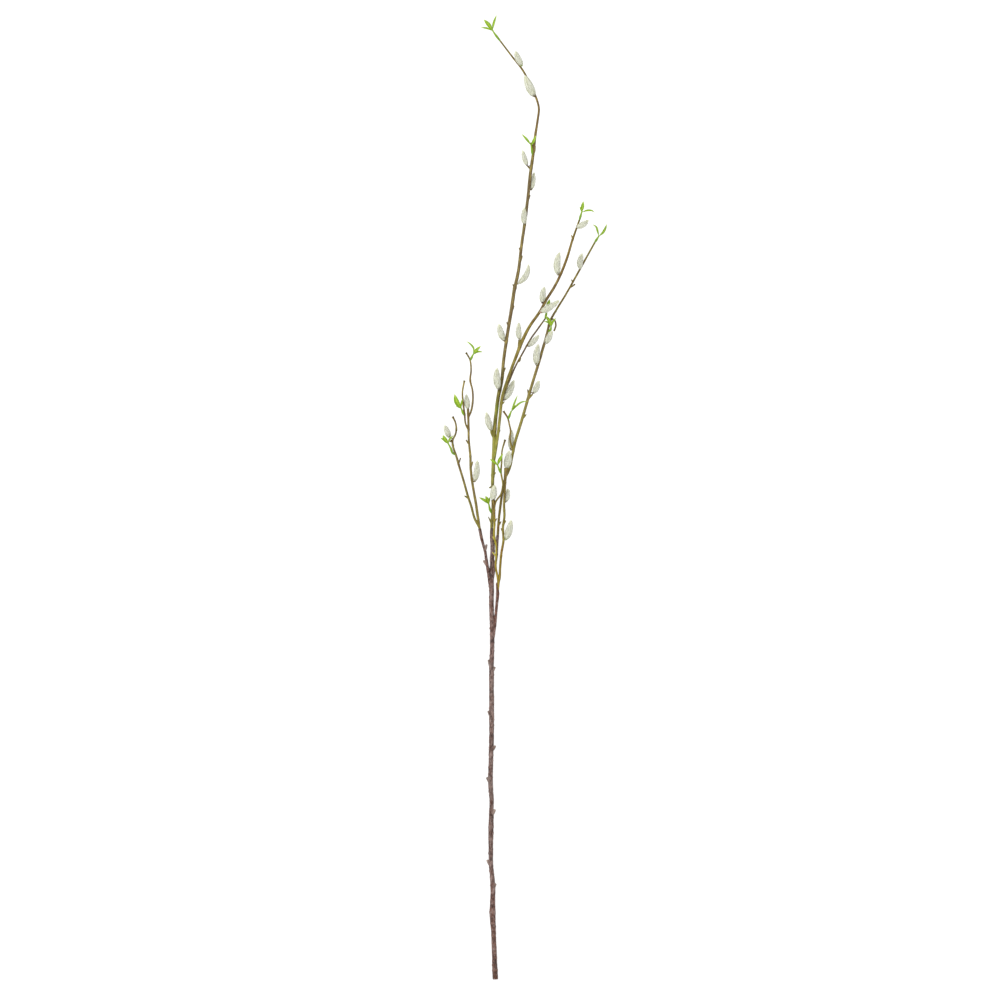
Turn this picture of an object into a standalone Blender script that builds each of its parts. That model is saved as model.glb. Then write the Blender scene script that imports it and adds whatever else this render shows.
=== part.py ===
"""A cut willow twig of the made, spring kind: bark sleeves, slim olive branches, fluffy catkins, small leaves.

It lies on a flat surface with its cut end towards -Y and its top towards +Y. Lengths in the tables
are millimetres: across (towards +X), along (from the cut end) and height above the surface.
"""

import math

import bmesh
import bpy
import numpy as np
from mathutils import Vector

MM = 0.001
GAP = 0.35  # clear space between touching pieces
TRUNK_SPACING = 13.0  # distance between the rings of the stem's mesh
TWIG_SPACING = 9.0
WELD = 0.00001
LEAF_THICKNESS = 0.5
LEAF_STEPS = 5
LEAF_FOLD = 0.22  # rise of a leaf's edges over its midrib, as a share of its half width

# Where a catkin's girth changes, as (share of its length, share of its largest radius).
CATKIN_PROFILE = ((0, 0.34), (0.1, 0.72), (0.3, 1.0), (0.56, 0.97), (0.78, 0.72), (0.92, 0.42), (1, 0.14))
# The same for a leaf's half width, from its base to its tip.
LEAF_PROFILE = ((0, 0.4), (0.2, 0.8), (0.45, 1.0), (0.75, 0.75), (1, 0.12))

# Each point of a strand is (across, along, height, radius).
TRUNK = [
    (4.0, 0, 3.5, 3.1), (3.6, 11, 3.5, 3.2), (2.8, 29.4, 3.5, 3.0), (1.8, 59.4, 3.5, 2.9), (0.5, 81, 3.5, 3.5),
    (0.7, 92, 3.5, 3.0), (1.2, 109.8, 3.5, 2.9), (-1.0, 137.4, 3.5, 2.55), (-1.4, 159, 3.5, 2.7),
    (-1.2, 183.5, 3.5, 3.05), (-0.7, 200, 3.5, 2.7), (-0.5, 213, 3.5, 2.6), (-1.6, 233.4, 3.5, 2.85),
    (-1.8, 250.2, 3.5, 2.8), (-1.2, 266, 3.5, 2.8), (-0.6, 294.6, 3.5, 2.9), (-0.6, 348.6, 3.5, 2.9),
    (-0.7, 372.6, 3.5, 2.8), (0.1, 396.6, 3.5, 2.65), (0.3, 415, 3.5, 2.75), (-0.6, 447, 3.5, 2.8),
    (-0.5, 470, 3.6, 2.75), (0, 497.4, 3.9, 2.45), (0.7, 521.4, 4.2, 2.55), (-0.1, 535, 4.5, 2.3),
    (-0.4, 541.8, 4.6, 1.9),
]
LEFT_SLEEVE = [
    (-0.9, 462, 3.6, 1.7), (-4.4, 487.8, 4.3, 1.7), (-6.4, 501, 4.8, 1.7), (-8.6, 515, 5.6, 1.65),
    (-12.0, 527.4, 6.3, 1.6), (-14.9, 541.2, 7.0, 1.5),
]
SMALL_SLEEVE = [
    (0.3, 478, 3.7, 1.4), (2.8, 492, 4.0, 1.4), (5.6, 507.6, 4.4, 1.4), (6.2, 522.6, 5.0, 1.4),
    (7.0, 533.4, 5.4, 1.35),
]
RIGHT_SLEEVE = [
    (0.4, 404, 3.6, 1.5), (2.6, 417, 4.0, 1.5), (4.6, 431.4, 5.0, 1.55), (5.6, 446, 6.4, 1.55),
    (6.8, 462.6, 8.0, 1.8), (6.6, 474.6, 9.0, 1.5),
]
# A stub is (root, tip, root radius, tip radius).
STEM_STUBS = [
    ((0.5, 108, 3.8), (5.0, 115.5, 4.4), 1.4, 0.5), ((-1.0, 136, 3.6), (-6.4, 144, 4.0), 1.4, 0.5),
    ((-0.7, 197, 4.0), (4.2, 204.5, 5.0), 1.4, 0.5), ((-1.6, 235, 4.0), (-6.8, 243, 5.0), 1.4, 0.5),
    ((-0.8, 275, 4.4), (4.6, 281, 5.4), 1.6, 0.9), ((-0.8, 315, 4.0), (-5.0, 322.6, 5.2), 1.4, 0.5),
    ((-0.6, 368, 4.2), (4.0, 375.5, 5.2), 1.3, 0.5), ((-0.8, 371, 3.8), (-4.6, 384.4, 5.2), 1.2, 0.9),
    ((-5.8, 496, 4.6), (-10.8, 503.3, 5.2), 1.0, 0.6), ((-8.6, 514, 5.8), (-6.2, 522.6, 8.0), 1.0, 0.9),
]
TALL_BRANCH = [
    (-0.4, 542.3, 4.6, 1.5), (0.5, 559.8, 5.6, 1.35), (1.2, 575.4, 6.8, 1.45), (0.7, 595.8, 8.6, 1.7),
    (1.4, 611.4, 10.0, 1.9), (2.4, 639, 12.4, 2.0), (3.4, 664, 14.4, 2.0), (5.4, 682.7, 15.6, 1.95),
    (7.9, 701.4, 16.8, 1.95), (11.6, 718, 17.9, 1.8), (14.0, 743.4, 19.4, 1.7), (18.7, 775.8, 21.0, 1.7),
    (23.4, 804.6, 22.2, 1.9), (26.6, 826.2, 23.0, 1.85), (31.8, 850.7, 23.7, 1.7), (35.2, 879.5, 24.2, 1.6),
    (39.4, 907.8, 24.2, 1.6), (43.2, 939.5, 23.6, 1.65), (46.1, 967, 22.4, 1.7), (49.0, 988, 21.0, 1.6),
    (52.1, 1014, 18.8, 1.35), (54.8, 1031.4, 17.0, 1.15), (56.2, 1046, 15.4, 1.1), (53.0, 1058, 14.0, 1.1),
    (45.6, 1074.6, 12.2, 1.05), (37.4, 1090.2, 10.6, 1.0), (23.6, 1108.2, 8.4, 0.85), (9.6, 1126.6, 6.6, 0.8),
]
INNER_BRANCH = [
    (2.2, 622, 11.0, 1.4), (5.4, 642.6, 14.5, 1.5), (7.6, 658.2, 16.8, 1.5), (9.4, 673.8, 18.6, 1.5),
    (12.1, 697.8, 21.0, 1.6), (17.6, 716.3, 23.0, 1.6), (26.9, 742.2, 25.5, 1.6), (35.2, 763.8, 27.5, 1.8),
    (46.2, 785.4, 29.3, 1.5), (57.2, 801, 30.5, 1.5), (64.8, 814.9, 31.0, 1.45), (75.8, 832.8, 31.0, 1.4),
    (83.2, 848.2, 30.4, 1.35), (90.4, 867, 29.0, 1.3), (96.4, 887, 26.8, 1.15), (100.7, 899.4, 25.5, 1.0),
    (104.9, 911.5, 24.0, 0.9),
]
SLIM_TWIG = [
    (14.0, 703, 21.5, 0.9), (20.8, 718.2, 20.3, 0.85), (26.9, 733.2, 19.3, 0.85), (37.9, 753.6, 19.0, 0.85),
    (46.9, 769.4, 19.0, 0.85), (54.5, 780, 18.8, 0.8), (63.7, 792.8, 18.0, 0.8),
]
TALL_STUBS = [
    ((-0.2, 546, 4.9), (-4.4, 555.4, 6.0), 0.9, 0.5), ((0.8, 592, 8.4), (-3.6, 589.8, 9.0), 1.0, 0.6),
    ((7.6, 656, 16.8), (9.9, 659.6, 17.6), 1.0, 0.5), ((13.4, 728, 18.5), (16.4, 734.4, 19.4), 0.9, 0.5),
    ((20.2, 783, 21.4), (17.4, 789, 22.4), 1.0, 0.5), ((23.2, 801, 22.2), (26.6, 808.6, 23.4), 1.1, 0.6),
    ((27.4, 828, 23.2), (24.8, 834.6, 24.2), 1.0, 0.5), ((34.0, 861, 24.0), (36.6, 868.6, 25.2), 1.0, 0.5),
    ((34.8, 872, 24.2), (32.4, 878, 25.0), 0.9, 0.5), ((42.8, 934, 23.8), (46.0, 941.4, 24.8), 1.0, 0.5),
    ((97.2, 888, 26.8), (94.8, 893.8, 27.4), 0.8, 0.4), ((1.6, 651, 13.6), (-0.8, 658.6, 14.6), 1.4, 1.6),
    ((9.2, 705, 17.6), (8.1, 707.9, 20.0), 1.4, 1.5), ((46.2, 972, 22.2), (42.7, 976.3, 22.0), 0.8, 0.8),
    ((17.0, 764, 20.6), (14.9, 766.8, 21.2), 1.1, 1.1), ((1.8, 605, 9.6), (4.4, 608.6, 10.6), 0.9, 0.6), ((32.4, 756.5, 26.8), (32.8, 767.6, 28.2), 1.4, 1.3),
]
OUTER_BRANCH = [
    (7.05, 533.8, 5.4, 1.2), (7.8, 547.8, 6.0, 1.2), (10.6, 571.8, 7.0, 1.25), (13.8, 593.4, 8.0, 1.25),
    (16.6, 603.4, 8.4, 1.3), (20.5, 611.9, 8.6, 1.35), (24.5, 629.4, 9.0, 1.4), (28.1, 646.2, 9.6, 1.5),
    (33.6, 664.2, 10.5, 1.5), (39.1, 682.7, 12.0, 1.5), (46.4, 708.6, 14.0, 1.5), (52.1, 727.1, 15.0, 1.5),
    (60.0, 753.6, 16.0, 1.4), (66.2, 775.8, 15.4, 1.3), (69.4, 789, 14.4, 1.2), (78.6, 805.8, 11.4, 1.0),
    (88.2, 821.4, 7.6, 0.95), (100.0, 842.4, 3.0, 0.95), (109.7, 859.8, 1.1, 0.9), (123.5, 884.8, 1.8, 0.85),
]
OUTER_HOOK = [
    (71.0, 793, 13.6, 0.75), (74.6, 791.6, 14.0, 0.75), (76.6, 785.4, 15.0, 0.8), (74.4, 778.0, 16.0, 0.85),
]
OUTER_TWIGLET = [
    (25.4, 634, 9.2, 0.9), (22.6, 642.6, 12.4, 0.85), (21.4, 650.2, 14.6, 0.85), (22.4, 658.2, 16.0, 0.85),
    (20.8, 666.1, 17.0, 0.8), (19.0, 673.4, 18.0, 0.8), (13.7, 682.2, 19.0, 0.9),
]
OUTER_STUBS = [
    ((8.2, 545, 6.0), (11.0, 549.8, 7.4), 0.9, 0.5), ((37.6, 674, 11.5), (41.2, 678.2, 12.6), 1.0, 0.6),
    ((44.4, 700, 13.5), (42.6, 708.2, 14.6), 1.0, 0.6), ((43.2, 696, 13.2), (48.8, 702.6, 15.6), 1.0, 0.9),
    ((93.4, 830, 5.7), (99.8, 834.4, 6.4), 0.7, 0.8),
]
LEFT_BRANCH = [
    (-15.2, 541.9, 7.1, 1.25), (-20.6, 552.6, 7.8, 1.2), (-25.2, 568.8, 8.2, 1.2), (-28.9, 580, 8.0, 1.2),
    (-34.0, 598.2, 7.3, 1.15), (-39.5, 616.2, 6.5, 1.15), (-43.2, 629, 6.0, 1.1), (-46.8, 640.2, 5.6, 1.05),
    (-47.3, 646.7, 5.7, 1.0), (-44.0, 654, 7.6, 0.9), (-42.8, 660.1, 9.4, 0.9), (-44.0, 668.6, 11.4, 0.85),
    (-47.2, 675.5, 13.0, 0.95),
]
LEFT_INNER = [
    (-15.2, 542.0, 7.1, 1.3), (-16.9, 554.5, 9.2, 1.35), (-19.4, 571.8, 11.8, 1.35), (-22.9, 591.6, 14.2, 1.3),
    (-25.4, 611, 16.2, 1.3), (-26.0, 628.2, 17.8, 1.2), (-27.8, 646.7, 19.0, 1.15), (-28.2, 664, 20.0, 1.15),
    (-28.8, 684.6, 21.0, 1.3),
]
LEFT_SIDE_TWIG = [
    (-28.2, 674.5, 20.5, 0.9), (-25.4, 681, 21.3, 0.95), (-23.2, 692, 22.4, 0.95), (-23.3, 706.2, 24.0, 0.9),
    (-26.2, 719.6, 24.2, 0.95), (-25.1, 731, 23.2, 0.85), (-26.6, 744, 21.8, 0.8), (-31.2, 752.4, 21.0, 0.85),
]
LEFT_TWIGLET = [
    (-28.4, 659.5, 19.8, 0.9), (-31.6, 666.6, 21.0, 0.85), (-32.9, 678, 22.4, 0.9), (-34.6, 691.8, 23.0, 0.9),
    (-35.5, 704.3, 24.4, 0.8), (-33.1, 718.7, 27.0, 0.9),
]
LEFT_STUBS = [
    ((-28.2, 577, 8.0), (-33.2, 580.6, 8.8), 0.9, 0.6), ((-40.3, 619, 6.4), (-37.6, 626, 8.4), 0.9, 0.6),
    ((-47.2, 645.6, 5.6), (-50.8, 645.8, 5.4), 0.8, 0.8), ((-27.6, 642, 18.8), (-31.4, 647.8, 19.6), 0.9, 0.6),
    ((-25.4, 614, 16.6), (-22.9, 621.8, 18.2), 0.9, 0.5),
]
RIGHT_INNER = [
    (6.6, 475.0, 9.05, 1.15), (7.0, 481, 9.7, 1.1), (4.6, 494.3, 11.0, 1.0), (5.0, 508.4, 12.4, 1.0),
    (5.0, 520.2, 13.4, 1.05), (2.5, 532.6, 14.6, 1.05), (3.0, 546, 15.7, 1.05), (2.4, 561.5, 16.8, 1.4),
    (1.4, 575.4, 18.0, 2.1),
]
RIGHT_OUTER = [
    (6.65, 475.2, 9.1, 1.1), (8.5, 480, 9.6, 1.2), (9.6, 491.9, 10.5, 1.2), (11.2, 510.6, 12.0, 1.2),
    (13.9, 529, 13.5, 1.25), (13.1, 541.2, 14.5, 1.2), (14.9, 556.6, 15.3, 1.2), (14.5, 567, 15.8, 1.2),
    (15.2, 585, 16.7, 1.25), (15.8, 600, 17.5, 1.5), (17.2, 613.8, 18.2, 2.3),
]
RIGHT_SIDE_TWIG = [
    (2.4, 563, 17.0, 0.9), (4.6, 573.4, 18.2, 0.85), (10.6, 582.2, 19.4, 0.85), (13.0, 592, 20.8, 0.85),
    (10.8, 609, 22.9, 0.85), (11.6, 621, 24.6, 0.8), (11.9, 633, 26.5, 0.75), (15.8, 647.8, 28.5, 0.9),
]
RIGHT_STUBS = [
    ((4.6, 508, 12.4), (0.6, 512.8, 13.8), 0.8, 0.5), ((3.4, 527, 14.2), (0.9, 531.4, 15.4), 0.8, 0.5),
    ((3.0, 549, 15.9), (6.2, 553.6, 16.2), 0.8, 0.5), ((13.8, 546, 14.8), (16.8, 550.8, 15.6), 0.9, 0.5),
    ((13.0, 537, 14.3), (10.8, 541.6, 15.4), 0.8, 0.5), ((15.2, 591, 17.0), (13.4, 599, 18.2), 0.9, 0.7),
]

# A catkin is (base, tip, largest radius, sideways bow). Its base stands off the bark it grows from.
CATKINS = {
    "catkin_top_1": ((34.9, 1096.6, 12.4), (28.0, 1113.1, 16.0), 3.6, 0.6),
    "catkin_top_2": ((49.2, 1060.6, 16.4), (40.3, 1083.2, 20.5), 4.1, 0.5),
    "catkin_top_3": ((41.9, 977.4, 22.0), (36.7, 995.2, 21.0), 3.0, 0.5),
    "catkin_top_4": ((47.4, 948.8, 20.4), (50.4, 968.8, 16.6), 3.0, -0.4),
    "catkin_top_5": ((38.6, 907.3, 27.6), (39.2, 926.5, 33.5), 3.7, 0.5),
    "catkin_top_6": ((31.6, 835.6, 24.0), (44.0, 858.4, 27.0), 3.4, -3.4),
    "catkin_top_7": ((14.2, 767.6, 21.4), (8.4, 786.6, 23.4), 4.1, 0.8),
    "catkin_top_8": ((7.6, 709.2, 21.8), (6.2, 734.3, 26.0), 4.5, 1.2),
    "catkin_top_9": ((-1.2, 659.8, 14.9), (-6.8, 680.6, 17.0), 4.0, 0.6),
    "catkin_inner_1": ((102.5, 902.6, 28.4), (115.9, 911.5, 30.0), 3.7, -1.0),
    "catkin_inner_2": ((79.2, 846.8, 30.8), (81.1, 873.0, 32.0), 4.5, 1.8),
    "catkin_inner_3": ((60.2, 813.0, 31.6), (62.8, 831.5, 32.6), 3.7, 0.5),
    "catkin_inner_4": ((58.6, 801.0, 33.6), (80.6, 814.9, 39.0), 4.1, -0.8),
    "catkin_inner_5": ((33.0, 768.6, 28.2), (32.4, 788.4, 30.0), 3.5, 0.8),
    "catkin_inner_6": ((13.6, 696.1, 18.4), (26.4, 719.4, 11.6), 4.7, -1.2),
    "catkin_slim_1": ((44.6, 760.6, 20.8), (56.5, 773.5, 25.6), 3.1, -0.4),
    "catkin_outer_1": ((105.6, 853.6, 4.2), (108.4, 871.4, 7.4), 3.7, 1.2),
    "catkin_outer_2": ((64.8, 763.9, 19.2), (71.8, 778.4, 24.0), 3.7, -0.5),
    "catkin_outer_3": ((53.2, 738.6, 18.9), (55.7, 762.4, 23.4), 4.2, 1.0),
    "catkin_outer_4": ((50.2, 704.4, 16.6), (56.2, 718.8, 21.4), 3.6, -0.6),
    "catkin_outer_5": ((22.6, 636.7, 6.4), (23.8, 659.4, 4.0), 3.6, 0.5),
    "catkin_right_1": ((1.4, 576.0, 18.15), (3.1, 593.4, 21.4), 4.3, 0.5),
    "catkin_right_2": ((16.0, 529.0, 14.6), (22.8, 551.6, 20.0), 4.6, -0.9),
    "catkin_right_3": ((16.8, 574.2, 13.2), (19.2, 589.2, 10.0), 3.4, -0.4),
    "catkin_right_4": ((17.3, 614.4, 18.3), (19.9, 633.4, 21.4), 4.5, -0.5),
    "catkin_left_1": ((-50.9, 651.0, 4.3), (-56.9, 665.4, 3.0), 3.5, 0.3),
    "catkin_left_2": ((-28.9, 685.4, 21.0), (-30.8, 702.2, 18.0), 3.6, 0.4),
    "catkin_left_3": ((-20.4, 598.7, 15.4), (-17.8, 623.4, 18.0), 3.7, -1.0),
}
CATKINS_ON_ENDS = ("catkin_right_1", "catkin_right_4", "catkin_left_2")

# A shoot is a list of stem points, then its leaves as (points, width).
SHOOTS = {
    "shoot_top": ([(9.3, 1127.0, 6.6), (3.1, 1135.1, 6.2), (0.4, 1139.4, 6.2)], [
        ([(0.4, 1139.0, 6.3), (1.6, 1146.0, 7.4), (5.6, 1157.8, 8.0)], 2.8),
        ([(0.3, 1139.0, 6.3), (-3.0, 1144.4, 7.6), (-10.0, 1152.2, 7.0)], 4.8),
        ([(0.2, 1138.6, 6.1), (-5.0, 1141.2, 5.4), (-13.7, 1142.5, 4.0)], 2.2)]),
    "shoot_upper_left": ([(48.4, 991.4, 21.6), (46.8, 1002.0, 22.6)], [
        ([(46.9, 1001.2, 22.5), (42.6, 1007.0, 23.6), (35.5, 1014.8, 23.0)], 2.8),
        ([(46.9, 1001.2, 22.6), (49.4, 1005.2, 24.6), (53.0, 1013.0, 26.0)], 3.4)]),
    "shoot_inner_tip": ([(105.1, 911.95, 24.0), (108.0, 922.2, 23.4)], [
        ([(108.0, 921.6, 23.4), (108.7, 927.6, 24.4), (109.7, 934.0, 24.0)], 4.1),
        ([(107.8, 920.6, 23.4), (114.5, 922.9, 25.0), (120.0, 922.6, 25.4), (123.5, 920.2, 24.0)], 1.8),
        ([(107.9, 921.4, 23.4), (106.8, 924.4, 24.4), (105.3, 927.6, 25.0)], 1.4)]),
    "shoot_outer_tip": ([(123.8, 885.3, 1.85), (128.3, 892.2, 2.6)], [
        ([(128.2, 891.8, 2.6), (126.8, 897.8, 3.8), (124.8, 903.4, 4.0), (120.4, 906.1, 2.6)], 2.4),
        ([(128.1, 891.8, 2.6), (133.1, 896.4, 3.2), (135.8, 901.2, 2.4), (137.9, 906.7, 1.0)], 3.0)]),
    "shoot_outer_side": ([(70.0, 779.4, 17.8), (71.0, 785.4, 19.6)], [
        ([(71.4, 784.0, 20.0), (68.9, 790.2, 21.6), (64.1, 797.0, 21.6)], 4.1),
        ([(71.4, 784.0, 20.0), (73.0, 789.6, 21.6), (76.8, 793.6, 21.6)], 2.8),
        ([(71.3, 783.6, 20.0), (67.4, 788.6, 20.4), (62.0, 789.7, 22.6)], 1.6)]),
    "shoot_slim_tip": ([(64.0, 793.4, 18.0), (66.2, 804.0, 18.6)], [
        ([(66.1, 803.4, 18.6), (67.4, 809.6, 19.2), (69.4, 816.6, 18.6)], 4.4)]),
    "shoot_left_top": ([(-24.9, 745.4, 22.2), (-22.3, 750.8, 22.8)], [
        ([(-22.4, 750.2, 22.8), (-22.1, 757.6, 24.4), (-26.0, 762.6, 25.0), (-31.2, 766.2, 24.0)], 2.2),
        ([(-22.4, 750.2, 22.8), (-18.4, 755.6, 24.0), (-13.2, 760.2, 24.0)], 3.6),
        ([(-22.6, 749.8, 22.7), (-17.4, 753.2, 22.6), (-10.8, 753.0, 22.0)], 1.8)]),
    "shoot_left_middle": ([(-34.6, 679.4, 22.8), (-37.3, 686.2, 23.6)], [
        ([(-37.1, 685.6, 23.6), (-42.0, 692.6, 25.0), (-45.0, 702.6, 24.0)], 6.0),
        ([(-36.9, 685.2, 23.5), (-40.4, 687.4, 22.8), (-43.6, 688.4, 22.0)], 2.4),
        ([(-37.2, 685.6, 23.6), (-36.8, 691.0, 26.4), (-35.6, 697.2, 28.4)], 1.3)]),
    "shoot_left_low": ([(-46.8, 631.4, 6.6), (-49.6, 637.6, 7.4), (-53.0, 643.8, 8.2)], [
        ([(-52.8, 643.2, 8.2), (-56.2, 647.8, 9.4), (-59.0, 653.4, 9.0)], 4.8),
        ([(-52.8, 643.2, 8.2), (-56.8, 646.6, 8.0), (-62.2, 650.3, 7.0)], 1.8),
        ([(-52.6, 643.0, 8.2), (-51.2, 647.6, 10.4), (-46.2, 653.2, 11.6)], 2.2)]),
    "shoot_middle": ([(20.2, 674.6, 18.8), (23.2, 682.2, 19.8)], [
        ([(23.1, 681.6, 19.8), (26.4, 690.4, 21.6), (30.8, 701.6, 22.4)], 2.2),
        ([(23.3, 682.0, 19.8), (25.6, 686.8, 20.2), (29.0, 689.4, 20.4)], 1.7),
        ([(23.0, 681.2, 19.7), (29.4, 688.4, 19.2), (34.8, 692.5, 19.0), (43.4, 694.3, 19.6)], 1.7)]),
    "shoot_right_low": ([(9.6, 610.0, 24.4), (6.6, 617.4, 26.0)], [
        ([(6.7, 616.8, 26.0), (3.4, 620.6, 27.0), (-2.8, 624.6, 26.6)], 2.6),
        ([(6.7, 616.8, 26.0), (8.6, 622.6, 28.6), (13.4, 631.2, 31.0)], 3.1)]),
    "shoot_stem_side": ([(-1.6, 562.0, 6.4), (-4.1, 571.2, 7.6)], [
        ([(-4.0, 570.6, 7.6), (-8.6, 574.8, 8.4), (-15.7, 578.6, 8.0)], 2.4),
        ([(-4.1, 570.6, 7.6), (-5.4, 575.4, 9.0), (-7.8, 580.4, 9.6)], 3.8),
        ([(-4.0, 570.4, 7.6), (-3.4, 574.8, 8.8), (-2.2, 579.4, 10.6)], 1.4)]),
}
SHOOTS_ON_ENDS = ("shoot_top", "shoot_inner_tip", "shoot_outer_tip", "shoot_slim_tip")
SHOOT_BASE_RADIUS = 1.0
SHOOT_STEM_RADIUS = 0.75

wood_stations = []  # every strand's rings, for standing catkins and shoots off the bark


def clear_scene():
    for obj in list(bpy.data.objects):
        bpy.data.objects.remove(obj)


def collection(name):
    group = bpy.data.collections.new(name)
    bpy.context.scene.collection.children.link(group)
    return group


def finish(name, colour, roughness):
    """A plain surface finish, no part of the twig being metal."""
    material = bpy.data.materials.new(name)
    material.use_nodes = True
    shader = material.node_tree.nodes["Principled BSDF"]
    shader.inputs["Base Color"].default_value = (*colour, 1)
    shader.inputs["Roughness"].default_value = roughness
    shader.inputs["Metallic"].default_value = 0
    return material


def smooth_route(points, spacing):
    """Even stations on a smooth curve through all the points. Radius is smoothed like a fourth axis."""
    points = np.array(points, float)
    steps = np.linalg.norm(np.diff(points[:, :3], axis=0), axis=1)
    at = np.concatenate([[0], np.cumsum(steps)])
    slopes = np.gradient(points, at, axis=0)
    wanted = np.linspace(0, at[-1], max(2, round(at[-1] / spacing) + 1))
    route = []
    for s in wanted:
        k = min(int(np.searchsorted(at, s, side="right")) - 1, len(steps) - 1)
        t = (s - at[k]) / steps[k]
        start_pull = steps[k] * slopes[k] * (t**3 - 2 * t**2 + t)
        end_pull = steps[k] * slopes[k + 1] * (t**3 - t**2)
        rise = points[k + 1] - points[k]
        route.append(points[k] + rise * (3 * t**2 - 2 * t**3) + start_pull + end_pull)
    return np.array(route)


def tube(name, stations, sides, group):
    """A closed tube with flat ends along the stations, each with its own radius."""
    curve = bpy.data.curves.new(name, "CURVE")
    curve.dimensions = "3D"
    curve.bevel_depth = MM
    curve.bevel_resolution = (sides - 4) // 2
    curve.use_fill_caps = True
    line = curve.splines.new("POLY")
    line.points.add(len(stations) - 1)
    for point, (x, y, z, radius) in zip(line.points, stations, strict=True):
        point.co = (x * MM, y * MM, z * MM, 1)
        point.radius = radius
    holder = bpy.data.objects.new(name + "_curve", curve)
    bpy.context.scene.collection.objects.link(holder)
    graph = bpy.context.evaluated_depsgraph_get()
    mesh = bpy.data.meshes.new_from_object(holder.evaluated_get(graph))
    bpy.data.objects.remove(holder)
    return weld(name, mesh, group)


def weld(name, mesh, group):
    """An object from the mesh, with its seams merged and its faces turned outwards."""
    work = bmesh.new()
    work.from_mesh(mesh)
    bmesh.ops.remove_doubles(work, verts=work.verts, dist=WELD)
    bmesh.ops.recalc_face_normals(work, faces=work.faces)
    work.to_mesh(mesh)
    work.free()
    mesh.name = name
    obj = bpy.data.objects.new(name, mesh)
    group.objects.link(obj)
    return obj


def strand(name, points, sides, spacing, group):
    stations = smooth_route(points, spacing)
    wood_stations.append(smooth_route(points, 1.0))
    return tube(name, stations, sides, group)


def stub(name, shape, group):
    """A short side peg or bud that widens a little before its tip."""
    root, tip, root_radius, tip_radius = shape
    root = Vector(root)
    tip = Vector(tip)
    middle = root.lerp(tip, 0.6)
    stations = [(*root, root_radius), (*middle, (root_radius + tip_radius) / 2), (*tip, tip_radius)]
    return tube(name, stations, 6, group)


def unite(main, others):
    """Joins the others to the main object. They stay in the scene as helpers that are not part of the twig."""
    for other in others:
        join = main.modifiers.new("join_" + other.name, "BOOLEAN")
        join.operation = "UNION"
        join.object = other
        other.hide_render = True
        other.display_type = "WIRE"


def wood_piece(name, main_points, side_strands, stubs, sides, spacing, material):
    main = strand(name, main_points, sides, spacing, twig)
    extra = []
    for number, points in enumerate(side_strands):
        extra.append(strand(f"{name}_fork_{number}", points, 6, TWIG_SPACING, helpers))
    for number, shape in enumerate(stubs):
        extra.append(stub(f"{name}_stub_{number}", shape, helpers))
    unite(main, extra)
    main.data.materials.append(material)
    main.data.shade_smooth()
    return main


def stand_off(base, base_radius):
    """Moves a base straight out from the nearest strand until it clears the bark by GAP."""
    rings = np.concatenate(wood_stations)
    away = np.array(base) - rings[:, :3]
    distance = np.linalg.norm(away, axis=1) - rings[:, 3]
    nearest = int(np.argmin(distance))
    direction = away[nearest] / np.linalg.norm(away[nearest])
    reach = rings[nearest, 3] + base_radius + GAP
    return tuple(rings[nearest, :3] + direction * max(reach, np.linalg.norm(away[nearest])))


def catkin(name, base, tip, radius, bow, material):
    """A plump spindle on a slightly bowed line, blunt at its base and tapering to its tip."""
    if name not in CATKINS_ON_ENDS:
        base = stand_off(base, CATKIN_PROFILE[0][1] * radius)
    base = Vector(base)
    tip = Vector(tip)
    sideways = (tip - base).cross(Vector((0, 0, 1))).normalized()
    stations = []
    for share, girth in CATKIN_PROFILE:
        centre = base.lerp(tip, share) - sideways * bow * math.sin(math.pi * share)
        stations.append((*centre, girth * radius))
    body = tube(name, stations, 8, twig)
    body.data.materials.append(material)
    body.data.shade_smooth()
    return body


def leaf(name, points, width, group):
    """One blade: an open strip folded along its midrib, then thickened."""
    route = smooth_route([(*point, 0) for point in points], 1.0)[:, :3]
    shares = np.linspace(0, 1, len(route))
    work = bmesh.new()
    rows = []
    for step in range(LEAF_STEPS + 1):
        share = step / LEAF_STEPS
        centre = Vector([np.interp(share, shares, route[:, axis]) for axis in range(3)])
        ahead = Vector([np.interp(min(share + 0.05, 1), shares, route[:, axis]) for axis in range(3)])
        behind = Vector([np.interp(max(share - 0.05, 0), shares, route[:, axis]) for axis in range(3)])
        along = (ahead - behind).normalized()
        across = along.cross(Vector((0, 0, 1))).normalized()
        lift = across.cross(along).normalized()
        half = width / 2 * np.interp(share, *zip(*LEAF_PROFILE, strict=True))
        edge_rise = lift * half * LEAF_FOLD
        spots = (centre - across * half + edge_rise, centre, centre + across * half + edge_rise)
        rows.append([work.verts.new(spot * MM) for spot in spots])
    for lower, upper in zip(rows, rows[1:], strict=False):
        for side in (0, 1):
            work.faces.new((lower[side], lower[side + 1], upper[side + 1], upper[side]))
    mesh = bpy.data.meshes.new(name)
    work.to_mesh(mesh)
    work.free()
    blade = bpy.data.objects.new(name, mesh)
    group.objects.link(blade)
    thicken = blade.modifiers.new("thickness", "SOLIDIFY")
    thicken.thickness = LEAF_THICKNESS * MM
    thicken.offset = 0
    return blade


def shoot(name, stem_points, leaves, material):
    """A small green stem, wider where it is pushed onto the branch, with its leaves in one moulding."""
    base = stem_points[0]
    if name not in SHOOTS_ON_ENDS:
        base = stand_off(base, SHOOT_BASE_RADIUS)
    points = [(*base, SHOOT_BASE_RADIUS)]
    for point in stem_points[1:]:
        points.append((*point, SHOOT_STEM_RADIUS))
    stem = tube(name, smooth_route(points, 4.0), 6, twig)
    blades = []
    for number, (route, width) in enumerate(leaves):
        blades.append(leaf(f"{name}_leaf_{number}", route, width, helpers))
    unite(stem, blades)
    stem.data.materials.append(material)
    stem.data.shade_smooth()
    return stem


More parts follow.
